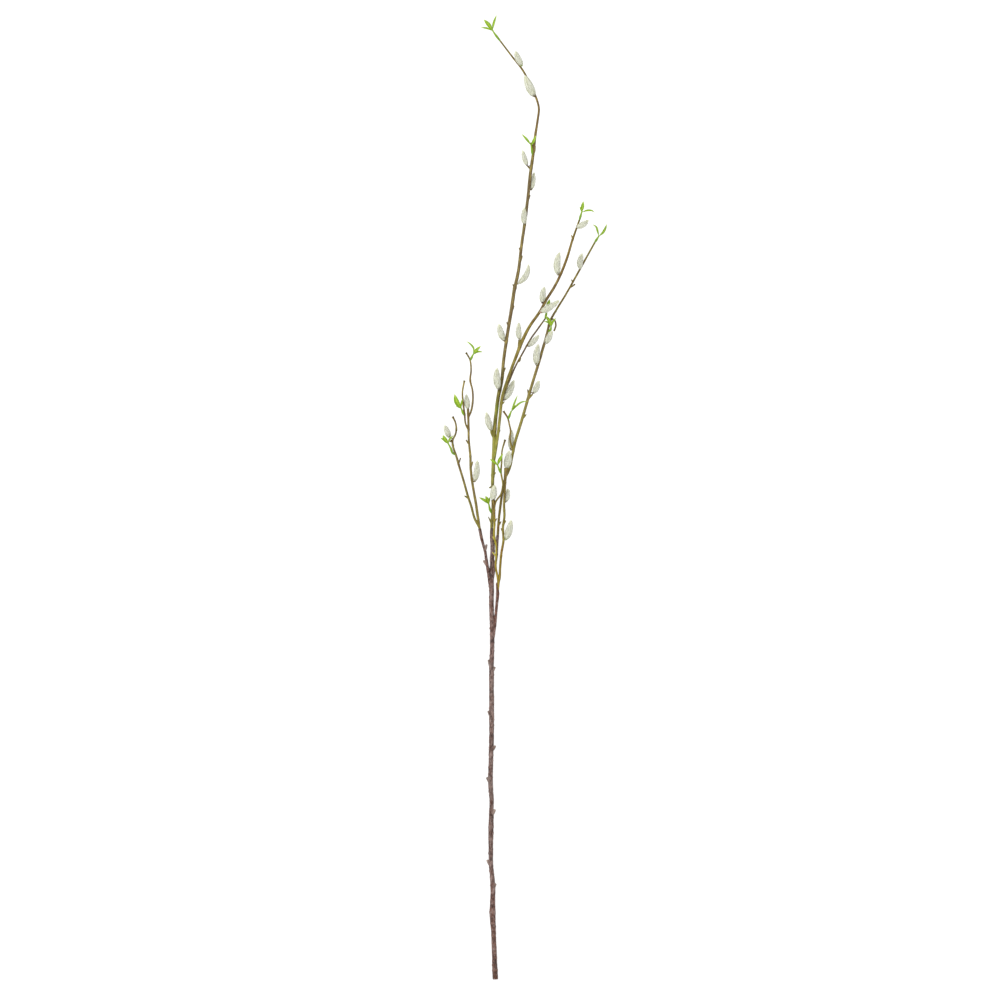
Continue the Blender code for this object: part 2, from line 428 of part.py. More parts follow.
def centre_on_surface():
    """Hangs everything on one empty that puts the twig's box middle over the origin and its lowest point at 0."""
    graph = bpy.context.evaluated_depsgraph_get()
    corners = []
    for obj in twig.objects:
        mesh = obj.evaluated_get(graph).to_mesh()
        corners.extend(vertex.co.copy() for vertex in mesh.vertices)
    corners = np.array(corners)
    low = corners.min(axis=0)
    high = corners.max(axis=0)
    middle = bpy.data.objects.new("twig_placement", None)
    twig.objects.link(middle)
    middle.location = (-(low[0] + high[0]) / 2, -(low[1] + high[1]) / 2, -low[2])
    for obj in list(twig.objects) + list(helpers.objects):
        if obj is not middle:
            obj.parent = middle


clear_scene()
twig = collection("willow_twig")
helpers = collection("joining_helpers")

bark = finish("brown_bark", (0.19, 0.13, 0.115), 0.75)
olive = finish("olive_bark", (0.27, 0.24, 0.07), 0.65)
fluff = finish("silver_green_fluff", (0.68, 0.7, 0.56), 0.95)
leaf_green = finish("leaf_green", (0.26, 0.47, 0.06), 0.5)

wood_piece(
    "main_stem", TRUNK, (LEFT_SLEEVE, SMALL_SLEEVE, RIGHT_SLEEVE), STEM_STUBS, 8, TRUNK_SPACING, bark
)
wood_piece("tall_branch", TALL_BRANCH, (INNER_BRANCH, SLIM_TWIG), TALL_STUBS, 6, TWIG_SPACING, olive)
wood_piece("outer_branch", OUTER_BRANCH, (OUTER_TWIGLET, OUTER_HOOK), OUTER_STUBS, 6, TWIG_SPACING, olive)
wood_piece(
    "left_branch", LEFT_BRANCH, (LEFT_INNER, LEFT_SIDE_TWIG, LEFT_TWIGLET), LEFT_STUBS, 6, TWIG_SPACING, olive
)
wood_piece("right_branch", RIGHT_OUTER, (RIGHT_INNER, RIGHT_SIDE_TWIG), RIGHT_STUBS, 6, TWIG_SPACING, olive)
for name, (base, tip, radius, bow) in CATKINS.items():
    catkin(name, base, tip, radius, bow, fluff)
for name, (stem_points, leaves) in SHOOTS.items():
    shoot(name, stem_points, leaves, leaf_green)
centre_on_surface()
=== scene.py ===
"""A cut willow twig of the made, spring kind: its bark, olive branches, fluffy catkins and small leaves.

Lengths are millimetres. A place is (across, along from the cut end, height) on the surface the twig lies
on, and a strand of wood has its radius as a fourth number there. Colours go from 0 to 255, as the light of
this room shows them, and a tone is (along, red, green, blue).
"""

import math

import bpy
import numpy as np
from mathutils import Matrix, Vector, noise


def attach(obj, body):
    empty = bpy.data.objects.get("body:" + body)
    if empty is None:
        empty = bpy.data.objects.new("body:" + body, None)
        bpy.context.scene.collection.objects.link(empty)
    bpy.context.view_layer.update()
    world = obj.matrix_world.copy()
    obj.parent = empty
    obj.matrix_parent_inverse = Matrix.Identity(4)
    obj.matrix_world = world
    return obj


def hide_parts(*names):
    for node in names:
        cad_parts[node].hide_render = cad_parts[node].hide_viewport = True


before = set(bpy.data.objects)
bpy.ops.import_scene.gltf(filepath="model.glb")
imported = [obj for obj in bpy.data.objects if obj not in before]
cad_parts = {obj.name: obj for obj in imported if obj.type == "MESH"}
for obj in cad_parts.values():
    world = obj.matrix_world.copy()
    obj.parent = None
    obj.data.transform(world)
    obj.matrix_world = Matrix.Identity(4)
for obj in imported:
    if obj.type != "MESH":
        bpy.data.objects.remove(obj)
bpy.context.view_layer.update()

# ---- The table, the light and the camera ----
# The twig lies on a pale light table in a bright room, with one wide soft lamp above and to its left.
# The camera looks straight down on it, with the twig's top upwards.

MM = 0.001
CUT_END = (4, 0, 3.5)  # the middle of the stem's cut end
CUT_REACH = 0.001  # how near the stem's lowest end a corner of the cut lies, in metres
VIEW_MIDDLE = (9.6, 575.4, 0)
VIEW_WIDTH = 1200
CAMERA_HEIGHT = 2.0  # metres, like the table's and the lamp's measures
TABLE_SIZE = 8.0
TABLE_GREY = (0.22, 0.22, 0.22, 1)
TABLE_GLOW = 0.86  # enough that hardly any shadow shows on it
LAMP_SIZE = 1.8
LAMP_PLACE = (-1.0, 0.5, 1.5)
LAMP_WATTS = 26
ROOM_BRIGHTNESS = 1.06
WHITE = (1, 1, 1, 1)
LIGHT_GAIN = 1.3  # how much brighter this light shows a colour than it is
SHINE = 0.022  # what a skin's own shine adds to its colour
LEAST_SHADE = 0.003

stem_corners = np.array([corner.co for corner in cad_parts["main_stem"].data.vertices])
cut_ring = stem_corners[stem_corners[:, 1] < stem_corners[:, 1].min() + CUT_REACH]
TABLE_START = cut_ring.mean(axis=0) - np.array(CUT_END) * MM


def in_frame(places):
    """Places on the table, in millimetres, as places of the frame, in metres."""
    return np.asarray(places, float) * MM + TABLE_START


def paint(red, green, blue):
    """The linear colour that a finish takes, for a colour as this light shows it."""
    shares = np.array((red, green, blue)) / 255
    linear = np.where(shares <= 0.04045, shares / 12.92, ((shares + 0.055) / 1.055) ** 2.4)
    return (*(max(float(share) / LIGHT_GAIN - SHINE, LEAST_SHADE) for share in linear), 1.0)


class Value:
    """A number or colour that a node gives, so that a finish can be written as plain sums."""

    def __init__(self, finish, socket):
        self.finish = finish
        self.socket = socket

    def __add__(self, other):
        return self.finish.sum("ADD", self, other)

    def __sub__(self, other):
        return self.finish.sum("SUBTRACT", self, other)

    def __rsub__(self, other):
        return self.finish.sum("SUBTRACT", other, self)

    def __mul__(self, other):
        return self.finish.sum("MULTIPLY", self, other)

    __radd__ = __add__
    __rmul__ = __mul__


class Finish:
    """A surface finish in the making: its nodes, its main shader, and the few steps finishes share."""

    def __init__(self, name, roughness):
        self.material = bpy.data.materials.new(name)
        self.material.use_nodes = True
        self.tree = self.material.node_tree
        self.shader = self.tree.nodes["Principled BSDF"]
        self.set("Roughness", roughness)

    def node(self, kind, settings, inputs, output=0):
        made = self.tree.nodes.new(kind)
        for setting, value in settings.items():
            setattr(made, setting, value)
        for key, value in inputs.items():
            self.feed(made.inputs[key], value)
        return Value(self, made.outputs[output])

    def sum(self, operation, first, second):
        return self.node("ShaderNodeMath", {"operation": operation}, {0: first, 1: second})

    def feed(self, socket, value):
        if isinstance(value, Value):
            self.tree.links.new(value.socket, socket)
        else:
            socket.default_value = value

    def set(self, name, value):
        self.feed(self.shader.inputs[name], value)

    def carried(self, name, output="Fac"):
        """What the mesh carries under that name at each point."""
        return self.node("ShaderNodeAttribute", {"attribute_name": name}, {}, output)

    def grain(self, place, stretch, detail):
        """Noise from 0 to 1, with its number of waves to the millimetre along each direction."""
        scaled = self.node("ShaderNodeVectorMath", {"operation": "MULTIPLY"}, {0: place, 1: stretch})
        return self.node("ShaderNodeTexNoise", {}, {"Vector": scaled, "Scale": 1.0, "Detail": detail})

    def between(self, value, low, high):
        """How far the value has come from low to high, held within 0 and 1 and eased at both ends."""
        settings = {"interpolation_type": "SMOOTHSTEP"}
        return self.node("ShaderNodeMapRange", settings, {"Value": value, "From Min": low, "From Max": high})

    def mix(self, share, first, second, blend="MIX"):
        settings = {"data_type": "RGBA", "blend_type": blend}
        return self.node("ShaderNodeMix", settings, {0: share, 6: first, 7: second}, 2)

    def shaded(self, colour, by):
        """The colour times a number."""
        return self.mix(1.0, colour, by, "MULTIPLY")

    def tinted(self, colour, *tints):
        """The colour drawn to each tint in turn, a tint being (value, low, high, strength, its colour)."""
        for value, low, high, strength, tint in tints:
            colour = self.mix(self.between(value, low, high) * strength, colour, paint(*tint))
        return colour

    def raised(self, height, depth):
        """Small relief in the light only, for what is finer than the mesh. Depth is in metres."""
        inputs = {"Height": height, "Distance": depth, "Strength": 1.0}
        self.set("Normal", self.node("ShaderNodeBump", {}, inputs))


def placed(name, mesh):
    piece = bpy.data.objects.new(name, mesh)
    bpy.context.scene.collection.objects.link(piece)
    return piece


scene = bpy.context.scene
scene.view_settings.view_transform = "Standard"

room = bpy.data.worlds.new("bright_room")
scene.world = room
room.use_nodes = True
room.node_tree.nodes["Background"].inputs["Color"].default_value = WHITE
room.node_tree.nodes["Background"].inputs["Strength"].default_value = ROOM_BRIGHTNESS

lamp_data = bpy.data.lights.new("soft_lamp", "AREA")
lamp_data.size = LAMP_SIZE
lamp_data.energy = LAMP_WATTS
lamp = placed("soft_lamp", lamp_data)
lamp.location = LAMP_PLACE
lamp.rotation_euler = Vector(LAMP_PLACE).to_track_quat("Z", "Y").to_euler()

camera_data = bpy.data.cameras.new("table_camera")
camera_data.type = "ORTHO"
camera_data.ortho_scale = VIEW_WIDTH * MM
camera = placed("table_camera", camera_data)
camera.location = in_frame(VIEW_MIDDLE) + (0, 0, CAMERA_HEIGHT)
scene.camera = camera

table_finish = Finish("pale_table", 0.9)
table_finish.set("Base Color", TABLE_GREY)
table_finish.set("Emission Color", WHITE)
table_finish.set("Emission Strength", TABLE_GLOW)
table_mesh = bpy.data.meshes.new("table")
half = TABLE_SIZE / 2
table_corners = [(-half, -half, 0), (half, -half, 0), (half, half, 0), (-half, half, 0)]
table_mesh.from_pydata(table_corners, [], [(0, 1, 2, 3)])
table_mesh.materials.append(table_finish.material)
placed("table", table_mesh)

# ---- The main stem ----
# A long moulded stem with fibrous, mottled brown bark. Three short sleeves fork off it near its top,
# and the slim branches are pushed into them. It has collars, old bud pegs and knobs along its length.

TRUNK = [
    (4, 0, 3.5, 3.1), (3.6, 11, 3.5, 3.2), (2.8, 29.4, 3.5, 3), (1.8, 59.4, 3.5, 2.9), (0.5, 81, 3.5, 3.5),
    (0.7, 92, 3.5, 3), (1.2, 109.8, 3.5, 2.9), (-1, 137.4, 3.5, 2.55), (-1.4, 159, 3.5, 2.7),
    (-1.2, 183.5, 3.5, 3.05), (-0.7, 200, 3.5, 2.7), (-0.5, 213, 3.5, 2.6), (-1.6, 233.4, 3.5, 2.85),
    (-1.8, 250.2, 3.5, 2.8), (-1.2, 266, 3.5, 2.8), (-0.6, 294.6, 3.5, 2.9), (-0.6, 348.6, 3.5, 2.9),
    (-0.7, 372.6, 3.5, 2.8), (0.1, 396.6, 3.5, 2.65), (0.3, 415, 3.5, 2.75), (-0.6, 447, 3.5, 2.8),
    (-0.5, 470, 3.6, 2.75), (0, 497.4, 3.9, 2.45), (0.7, 521.4, 4.2, 2.55), (-0.1, 535, 4.5, 2.3),
    (-0.4, 541.8, 4.6, 1.9),
]
LEFT_SLEEVE = [
    (-0.9, 462, 3.6, 1.7), (-4.4, 487.8, 4.3, 1.7), (-6.4, 501, 4.8, 1.7), (-8.6, 515, 5.6, 1.65),
    (-12, 527.4, 6.3, 1.7), (-14.9, 541.2, 7, 1.9),
]
SMALL_SLEEVE = [
    (0.3, 478, 3.7, 1.4), (2.8, 492, 4, 1.4), (5.6, 507.6, 4.4, 1.4), (6.2, 522.6, 5, 1.5),
    (7, 533.4, 5.4, 1.75),
]
RIGHT_SLEEVE = [
    (0.4, 404, 3.6, 1.6), (2.5, 417, 4, 1.65), (4.1, 431.4, 5, 1.75), (5.3, 446, 6.4, 1.65),
    (6.8, 462.6, 8, 1.85), (6.8, 468.6, 8.5, 1.85), (6.1, 476.4, 9, 1.1),
]
TRUNK_TONES = [
    (0, 104, 78, 66), (10, 108, 82, 71), (14, 118, 92, 82), (85, 123, 94, 85), (140, 129, 108, 102),
    (190, 116, 95, 87), (235, 130, 112, 106), (280, 121, 98, 91), (350, 132, 113, 106), (400, 127, 104, 99),
    (450, 124, 97, 88), (500, 128, 105, 99), (540, 118, 103, 94),
]
LEFT_SLEEVE_TONES = [(462, 120, 94, 86), (500, 114, 88, 80), (541, 112, 88, 76)]
SMALL_SLEEVE_TONES = [(478, 126, 103, 98), (533, 118, 98, 94)]
RIGHT_SLEEVE_TONES = [(404, 130, 106, 101), (440, 124, 92, 82), (462, 112, 76, 62), (475, 110, 78, 58)]
# Raised collars: (along, height of the collar, half its length).
TRUNK_COLLARS = [(11.5, 0.35, 0.9), (81, 0.25, 2.2), (183.5, 0.4, 1.3), (269.4, 0.35, 1.2), (415, 0.2, 1.6)]
SLEEVE_COLLARS = [(463, 0.3, 1.2), (474, 0.2, 0.8)]
# Pegs: (root, tip, radius at the root, radius at the tip).
STEM_PEGS = [
    ((0.5, 108, 3.8), (5, 115.5, 4.4), 1.4, 0.5), ((-1, 136, 3.6), (-6.4, 144, 4), 1.4, 0.5),
    ((-0.7, 197, 4), (4.2, 204.5, 5), 1.4, 0.5), ((-1.6, 235, 4), (-6.8, 243, 5), 1.4, 0.5),
    ((-0.8, 275, 4.4), (4.6, 281, 5.4), 1.6, 0.9), ((-0.8, 315, 4), (-5, 322.6, 5.2), 1.4, 0.5),
    ((-0.6, 368, 4.2), (4, 375.5, 5.2), 1.3, 0.5), ((-0.8, 371, 3.8), (-4.6, 384.4, 5.2), 1.2, 0.9),
    ((-5.8, 496, 4.6), (-10.8, 503.3, 5.2), 1, 0.6), ((-8.6, 514, 5.8), (-6.2, 522.6, 8), 1, 0.9),
]
PEG_SPREAD = 1.35  # how much wider they are moulded at the root
PEG_TIP = 1.1  # the least radius of their blunt tips
PEG_LENGTH = 0.95
PEG_TONE = (166, 150, 140)
# Stains on the bark, the first being painted shade, a dark line in the deep crease where the left sleeve
# leaves the trunk: (across, along, half the width, half the length, colour, strength).
STEM_STAINS_AND_SHADE = [
    (-2, 491, 1.3, 9, (16, 10, 10), 1), (-3, 318.6, 1.2, 1.6, (60, 42, 40), 0.8),
    (3.9, 5, 8, 6, (92, 68, 58), 0.5), (8.3, 469, 1, 3, (70, 50, 46), 0.6),
]
STEM_FULLNESS = 0.06  # what the softening of the skin takes off again
STATION_SPACING = 0.5
STRAND_SHIFT = 211  # between the grain of one strand and the next, so that none looks like another
STRAND_SIDES = 20
FLARE_LENGTH = 1.5
FLARE_DARKENING = 1.6
KNOB_SPACING = (3.5, 8)
KNOB_HEIGHT = (0.3, 0.85)
KNOB_HALF_LENGTH = 1.2
KNOB_HALF_TURN = 0.6
KNOB_MARGIN = 4
BUD_STATIONS = 9
BUD_SIDES = 14
BUD_SWELL = 0.2
BUD_SHADE = 0.8  # of the bark's colour, at a tip that has none of its own
JOINT_REACH = 1  # a bud takes its colour from the last strand that lies this near its root
STEM_GRAIN = 0.4  # size of the skin's faces
SOFTENING = 3
EVENING = 2  # passes that even out the relief where strands meet
BLENDING = 10  # passes that run one tone of the bark into the next
FULL_RELIEF_RADIUS = 2.8  # thinner wood has lower relief, down to the least share
LEAST_RELIEF = 0.35
CUT_TONE = (150, 124, 98)
CUT_DEPTH = 0.2
CUT_RIM = 0.3
HEART = 0.05  # radius of a strand's heart, where its skin has no one direction
STEM_SEED = 11
UPRIGHT = 0.85  # a strand that climbs more steeply is squared to +Y instead of to +Z
BATCH = 2000


def smooth_route(points, spacing):
    """Even stations on a smooth curve through the points. What follows a point's place is eased too."""
    points = np.array(points, float)
    steps = np.linalg.norm(np.diff(points[:, :3], axis=0), axis=1)
    at = np.concatenate([[0], np.cumsum(steps)])
    slopes = np.gradient(points, at, axis=0)
    wanted = np.linspace(0, at[-1], max(2, round(at[-1] / spacing) + 1))
    part = np.clip(np.searchsorted(at, wanted, side="right") - 1, 0, len(steps) - 1)
    length = steps[part][:, None]
    t = (wanted - at[part])[:, None] / length
    rise = points[part] + (points[part + 1] - points[part]) * (3 * t**2 - 2 * t**3)
    return rise + length * (slopes[part] * (t**3 - 2 * t**2 + t) + slopes[part + 1] * (t**3 - t**2))


def normalised(rows):
    return rows / np.linalg.norm(rows, axis=-1, keepdims=True)


def cross_directions(route):
    """Ahead along the route, sideways and, square to both, lift, at each station."""
    ahead = normalised(np.gradient(route[:, :3], axis=0))
    upright = abs(ahead[:, 2].mean()) > UPRIGHT
    side = normalised(np.cross(ahead, (0, 1, 0) if upright else (0, 0, 1)))
    return ahead, side, np.cross(side, ahead)


def sweep(route, sections):
    """Corners and faces of a closed skin with one section, as (sideways, lift) pairs, at each station."""
    ahead, side, lift = cross_directions(route)
    corners = route[:, None, :3] + sections[..., :1] * side[:, None] + sections[..., 1:] * lift[:, None]
    stations, sides = sections.shape[:2]
    ring = np.arange(sides)
    low = ring + sides * np.arange(stations - 1)[:, None]
    low_next = np.roll(ring, -1) + sides * np.arange(stations - 1)[:, None]
    quads = np.stack([low + sides, low_next + sides, low_next, low], axis=2).reshape(-1, 4).tolist()
    caps = [ring.tolist(), (ring[::-1] + sides * (stations - 1)).tolist()]
    return corners.reshape(-1, 3), quads + caps


def round_sections(radii, sides):
    turn = np.arange(sides) * 2 * math.pi / sides
    return radii[:, None, None] * np.stack([np.cos(turn), np.sin(turn)], axis=1)


def joined(parts):
    """The corners and faces of several closed parts, which are the first two things in each, as one."""
    faces = []
    start = 0
    for part in parts:
        faces += [[start + corner for corner in face] for face in part[1]]
        start += len(part[0])
    return np.concatenate([part[0] for part in parts]), faces


class Wood:
    """The strands and buds of one moulding, with what each station of them carries."""

    def __init__(self, seed, fullness):
        self.chance = np.random.default_rng(seed)
        self.fullness = fullness
        self.strands = []
        self.parts = []
        self.knobs = []
        self.stains_and_shade = ()
        self.cut_tone = None

    def add(self, route, colours, collar, sides):
        run = STATION_SPACING * np.arange(len(route)) + STRAND_SHIFT * len(self.strands)
        carried = [route, *cross_directions(route), run[:, None], collar[:, None], colours]
        self.strands.append(np.hstack(carried))
        self.parts.append(sweep(route, round_sections(route[:, 3], sides)))
        return run

    def strand(self, points, tones, collars=(), flare=0, knob_spacing=None):
        route = smooth_route(points, STATION_SPACING)
        at_end = np.exp(-((np.arange(len(route))[::-1] * STATION_SPACING / FLARE_LENGTH) ** 2))
        route[:, 3] += self.fullness + flare * at_end
        shades = np.array([paint(*tone)[:3] for along, *tone in tones])
        places = [tone[0] for tone in tones]
        colours = np.stack([np.interp(route[:, 1], places, shade) for shade in shades.T], axis=1)
        colours = colours * (1 - flare * FLARE_DARKENING * at_end[:, None])
        heights = (h * np.exp(-(((route[:, 1] - along) / half) ** 2)) for along, h, half in collars)
        run = self.add(route, colours, sum(heights, np.zeros(len(route))), STRAND_SIDES)
        wood_rings.append(route)
        if knob_spacing:
            place = run[0] + KNOB_MARGIN
            while place < run[-1] - KNOB_MARGIN:
                facing = self.chance.uniform(-math.pi, math.pi)
                self.knobs.append((place, facing, self.chance.uniform(*KNOB_HEIGHT)))
                place += self.chance.uniform(*knob_spacing)

    def bud(self, root, tip, root_radius, tip_radius, tone=None):
        """A short peg or bud. It swells above its root, and its tip is darker or of a fresher colour."""
        share = np.linspace(0, 1, BUD_STATIONS)[:, None]
        middle = np.array(root) * (1 - share) + np.array(tip) * share
        swell = BUD_SWELL * root_radius * np.sin(math.pi * share)
        girth = root_radius + (tip_radius - root_radius) * share + swell
        parent = self.strands[0]
        for strand in self.strands[1:]:
            if np.linalg.norm(strand[:, :3] - root, axis=1).min() < JOINT_REACH:
                parent = strand
        colours = parent[np.linalg.norm(parent[:, :3] - root, axis=1).argmin(), -3:]
        fresh = np.array(paint(*tone)[:3]) if tone else colours * BUD_SHADE
        shades = colours * (1 - share) + fresh * share
        self.add(np.hstack([middle, girth]), shades, np.zeros(BUD_STATIONS), BUD_SIDES)

    def skin(self, name, grain):
        """All of it as one closed skin of even fineness, still in millimetres."""
        corners, faces = joined(self.parts)
        mesh = bpy.data.meshes.new(name)
        mesh.from_pydata(corners, [], faces)
        rough = placed(name + "_rough", mesh)
        one_skin = rough.modifiers.new("one_skin", "REMESH")
        one_skin.mode = "VOXEL"
        one_skin.voxel_size = grain
        soften = rough.modifiers.new("soften", "SMOOTH")
        soften.iterations = SOFTENING
        made = bpy.data.meshes.new_from_object(rough.evaluated_get(bpy.context.evaluated_depsgraph_get()))
        bpy.data.objects.remove(rough)
        made.name = name
        return made


def nearest_stations(places, stations):
    """For each place, the station whose round skin it lies nearest to."""
    found = np.empty(len(places), int)
    squares = (stations[:, :3] ** 2).sum(axis=1)
    for start in range(0, len(places), BATCH):
        batch = places[start : start + BATCH]
        apart = (batch**2).sum(axis=1)[:, None] + squares - 2 * batch @ stations[:, :3].T
        found[start : start + BATCH] = (np.sqrt(apart.clip(0)) - stations[:, 3]).argmin(axis=1)
    return found


def evened(mesh, values, passes):
    """Values at the mesh's corners, drawn halfway to the mean of their neighbours, a few passes over."""
    ends = np.empty(len(mesh.edges) * 2, np.int32)
    mesh.edges.foreach_get("vertices", ends)
    ends = np.concatenate([ends.reshape(-1, 2), ends.reshape(-1, 2)[:, ::-1]])
    neighbours = np.bincount(ends[:, 0])
    for _ in range(passes):
        values = (values + np.bincount(ends[:, 0], values[ends[:, 1]]) / neighbours) / 2
    return values


def carry(mesh, name, values):
    """Stores a value, a vector or a colour at each corner of the mesh, for its finish to read."""
    values = np.asarray(values, np.float32)
    stores = {1: ("FLOAT", "value"), 3: ("FLOAT_VECTOR", "vector"), 4: ("FLOAT_COLOR", "color")}
    kind, member = stores[values.size // len(values)]
    mesh.attributes.new(name, kind, "POINT").data.foreach_set(member, values.ravel())


def dressed(name, wood, grain, relief, finish):
    """The finished bark piece: the one skin with its relief raised, and with what its finish reads."""
    mesh = wood.skin(name, grain)
    stations = np.concatenate(wood.strands)
    places = np.empty(len(mesh.vertices) * 3)
    mesh.vertices.foreach_get("co", places)
    places = places.reshape(-1, 3)
    near = stations[nearest_stations(places, stations)]
    columns = np.split(near, (3, 4, 7, 10, 13, 14, 15), axis=1)
    middle, radius, ahead, side, lift, run, collar, colours = columns
    radius, run, collar = radius[:, 0], run[:, 0], collar[:, 0]
    away = places - middle
    forward = (away * ahead).sum(axis=1)
    across = (away * side).sum(axis=1)
    over = (away * lift).sum(axis=1)
    radial = across[:, None] * side + over[:, None] * lift
    distance = np.linalg.norm(radial, axis=1).clip(HEART)
    cut = (run == 0) & (forward < CUT_DEPTH) & (distance < radius - CUT_RIM)
    run = run + forward
    height = np.array([relief(*point) for point in zip(across, over, run, strict=True)])
    height = height * (radius / FULL_RELIEF_RADIUS).clip(LEAST_RELIEF, 1)
    turn = np.arctan2(over, across)
    for place, facing, rise in wood.knobs:
        off = np.abs(np.angle(np.exp(1j * (turn - facing)))) / KNOB_HALF_TURN
        height += rise * np.exp(-(((run - place) / KNOB_HALF_LENGTH) ** 2) - off**2)
    height = evened(mesh, height + collar, EVENING)
    inside = (distance / radius).clip(0, 1) ** 2
    places = places + radial / distance[:, None] * (height * inside)[:, None]
    mesh.vertices.foreach_set("co", in_frame(places).ravel())
    # Stains, and painted shade in the crease where the left sleeve leaves the trunk, drawn into the bark's
    # colours.
    for mark_across, along, half_width, half_length, tone, strength in wood.stains_and_shade:
        off = (places[:, :2] - (mark_across, along)) / (half_width, half_length)
        share = strength * np.exp(-(off**4).sum(axis=1))
        colours += share[:, None] * (np.array(paint(*tone)[:3]) - colours)
    colours = np.stack([evened(mesh, shade, BLENDING) for shade in colours.T], axis=1)
    if wood.cut_tone:
        colours[cut] = paint(*wood.cut_tone)[:3]
    carry(mesh, "bark_place", np.stack([across, over, run], axis=1))
    carry(mesh, "relief", height)
    # Which side of its strand a point lies on, from -1 on the left to 1 on the right, for the branches'
    # painted light and shade.
    carry(mesh, "light_to_shade_side", (across / radius).clip(-1, 1))
    carry(mesh, "zone_colour", np.hstack([colours, np.ones((len(colours), 1))]))
    mesh.shade_smooth()
    mesh.materials.append(finish.material)
    return placed(name, mesh)


def stem_relief(across, over, run):
    """Height of the stem's bark: long fissures between ridges, cross wrinkles and slow lumps."""
    fissure = abs(noise.fractal(Vector((across * 0.42, over * 0.42, run * 0.07)), 0.7, 2.2, 3))
    wrinkle = noise.noise(Vector((across * 0.5, over * 0.5, run * 0.85)))
    lump = noise.noise(Vector((across * 0.2, over * 0.2, run * 0.11 + 50)))
    return 0.6 * min(fissure * 2.2, 0.6) - 0.22 + 0.14 * wrinkle + 0.3 * lump


def stem_finish():
    """Dull, mottled brown bark, dark in its fissures and pinkish grey on its ridges."""
    bark = Finish("fibrous_bark", 0.72)
    bark.set("Specular IOR Level", 0.3)
    place = bark.carried("bark_place", "Vector")
    height = bark.carried("relief")
    fibres = bark.grain(place, (1.5, 1.5, 0.2), 4.0)
    streaks = bark.grain(place, (0.55, 0.55, 0.16), 3.0)
    blotches = bark.grain(place, (0.26, 0.26, 0.2), 4.0)
    flecks = bark.grain(place, (0.9, 0.9, 0.55), 3.0)
    mottles = bark.grain(place, (0.4, 0.4, 0.3), 2.0)
    shade = (fibres + 0.42) * (bark.between(mottles, 0.38, 0.6) * 0.75 + 0.62)
    bark.set("Base Color", bark.tinted(
        bark.shaded(bark.carried("zone_colour", "Color"), shade),
        (streaks, 0.5, 0.64, 0.6, (86, 60, 54)),
        (streaks, 0.47, 0.36, 0.5, (162, 140, 134)),
        (blotches, 0.54, 0.66, 0.5, (90, 62, 55)),
        (height, 0.0, -0.3, 0.75, (54, 36, 33)),
        (height, 0.12, 0.5, 0.35, (160, 140, 134)),
        (flecks, 0.6, 0.7, 0.6, (182, 166, 160)),
    ))
    bark.set("Roughness", 0.92 - fibres * 0.3)
    bark.raised(fibres + flecks * 0.5, 0.00012)
    return bark


wood_rings = []  # every strand's stations, for seating the catkins and shoots
stem = Wood(STEM_SEED, STEM_FULLNESS)
stem.strand(TRUNK, TRUNK_TONES, TRUNK_COLLARS, knob_spacing=KNOB_SPACING)
stem.strand(LEFT_SLEEVE, LEFT_SLEEVE_TONES)
stem.strand(SMALL_SLEEVE, SMALL_SLEEVE_TONES)
stem.strand(RIGHT_SLEEVE, RIGHT_SLEEVE_TONES, SLEEVE_COLLARS)
for root, tip, root_radius, tip_radius in STEM_PEGS:
    blunt = np.array(root) + (np.array(tip) - root) * PEG_LENGTH
    stem.bud(root, blunt, root_radius * PEG_SPREAD, max(tip_radius, PEG_TIP), PEG_TONE)
stem.stains_and_shade = STEM_STAINS_AND_SHADE
stem.cut_tone = CUT_TONE
stem_bark = dressed("stem_bark", stem, STEM_GRAIN, stem_relief, stem_finish())
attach(stem_bark, "root")
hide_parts("main_stem")

# ---- The tall branch ----
# The leader with its inner branch and its slim twig: one slim moulding of smooth olive bark, browner
# further up, pushed into the top of the stem. It carries pegs, yellow buds and swollen nodes.

LEADER = [
    (-0.2, 534, 4.5, 1.2), (-0.4, 543, 4.6, 1.5), (0.5, 559.8, 5.6, 1.35), (1.2, 575.4, 6.8, 1.45),
    (0.7, 595.8, 8.6, 1.7), (1.4, 611.4, 10, 1.9), (2.4, 639, 12.4, 2), (3.4, 664, 14.4, 2),
    (5.4, 682.7, 15.6, 1.95), (7.9, 701.4, 16.8, 1.95), (11.6, 718, 17.9, 1.8), (14, 743.4, 19.4, 1.7),
    (18.7, 775.8, 21, 1.7), (23.4, 804.6, 22.2, 1.9), (26.6, 826.2, 23, 1.85), (31.8, 850.7, 23.7, 1.7),
    (35.2, 879.5, 24.2, 1.6), (39.4, 907.8, 24.2, 1.6), (43.2, 939.5, 23.6, 1.65), (46.1, 967, 22.4, 1.7),
    (49, 988, 21, 1.6), (52.1, 1014, 18.8, 1.35), (54.8, 1031.4, 17, 1.15), (56.2, 1046, 15.4, 1.1),
    (53, 1058, 14, 1.1), (45.6, 1074.6, 12.2, 1.05), (37.4, 1090.2, 10.6, 1), (23.6, 1108.2, 8.4, 0.85),
    (9.6, 1126.6, 6.6, 0.8),
]
INNER_BRANCH = [
    (2.2, 622, 11, 1.4), (5.4, 642.6, 14.5, 1.5), (7.6, 658.2, 16.8, 1.5), (9.4, 673.8, 18.6, 1.5),
    (12.1, 697.8, 21, 1.6), (17.6, 716.3, 23, 1.6), (26.9, 742.2, 25.5, 1.6), (35.2, 763.8, 27.5, 1.8),
    (46.2, 785.4, 29.3, 1.5), (57.2, 801, 30.5, 1.5), (64.8, 814.9, 31, 1.45), (75.8, 832.8, 31, 1.4),
    (83.2, 848.2, 30.4, 1.35), (90.4, 867, 29, 1.3), (96.4, 887, 26.8, 1.15), (100.7, 899.4, 25.5, 1),
    (104.9, 911.5, 24, 0.9),
]
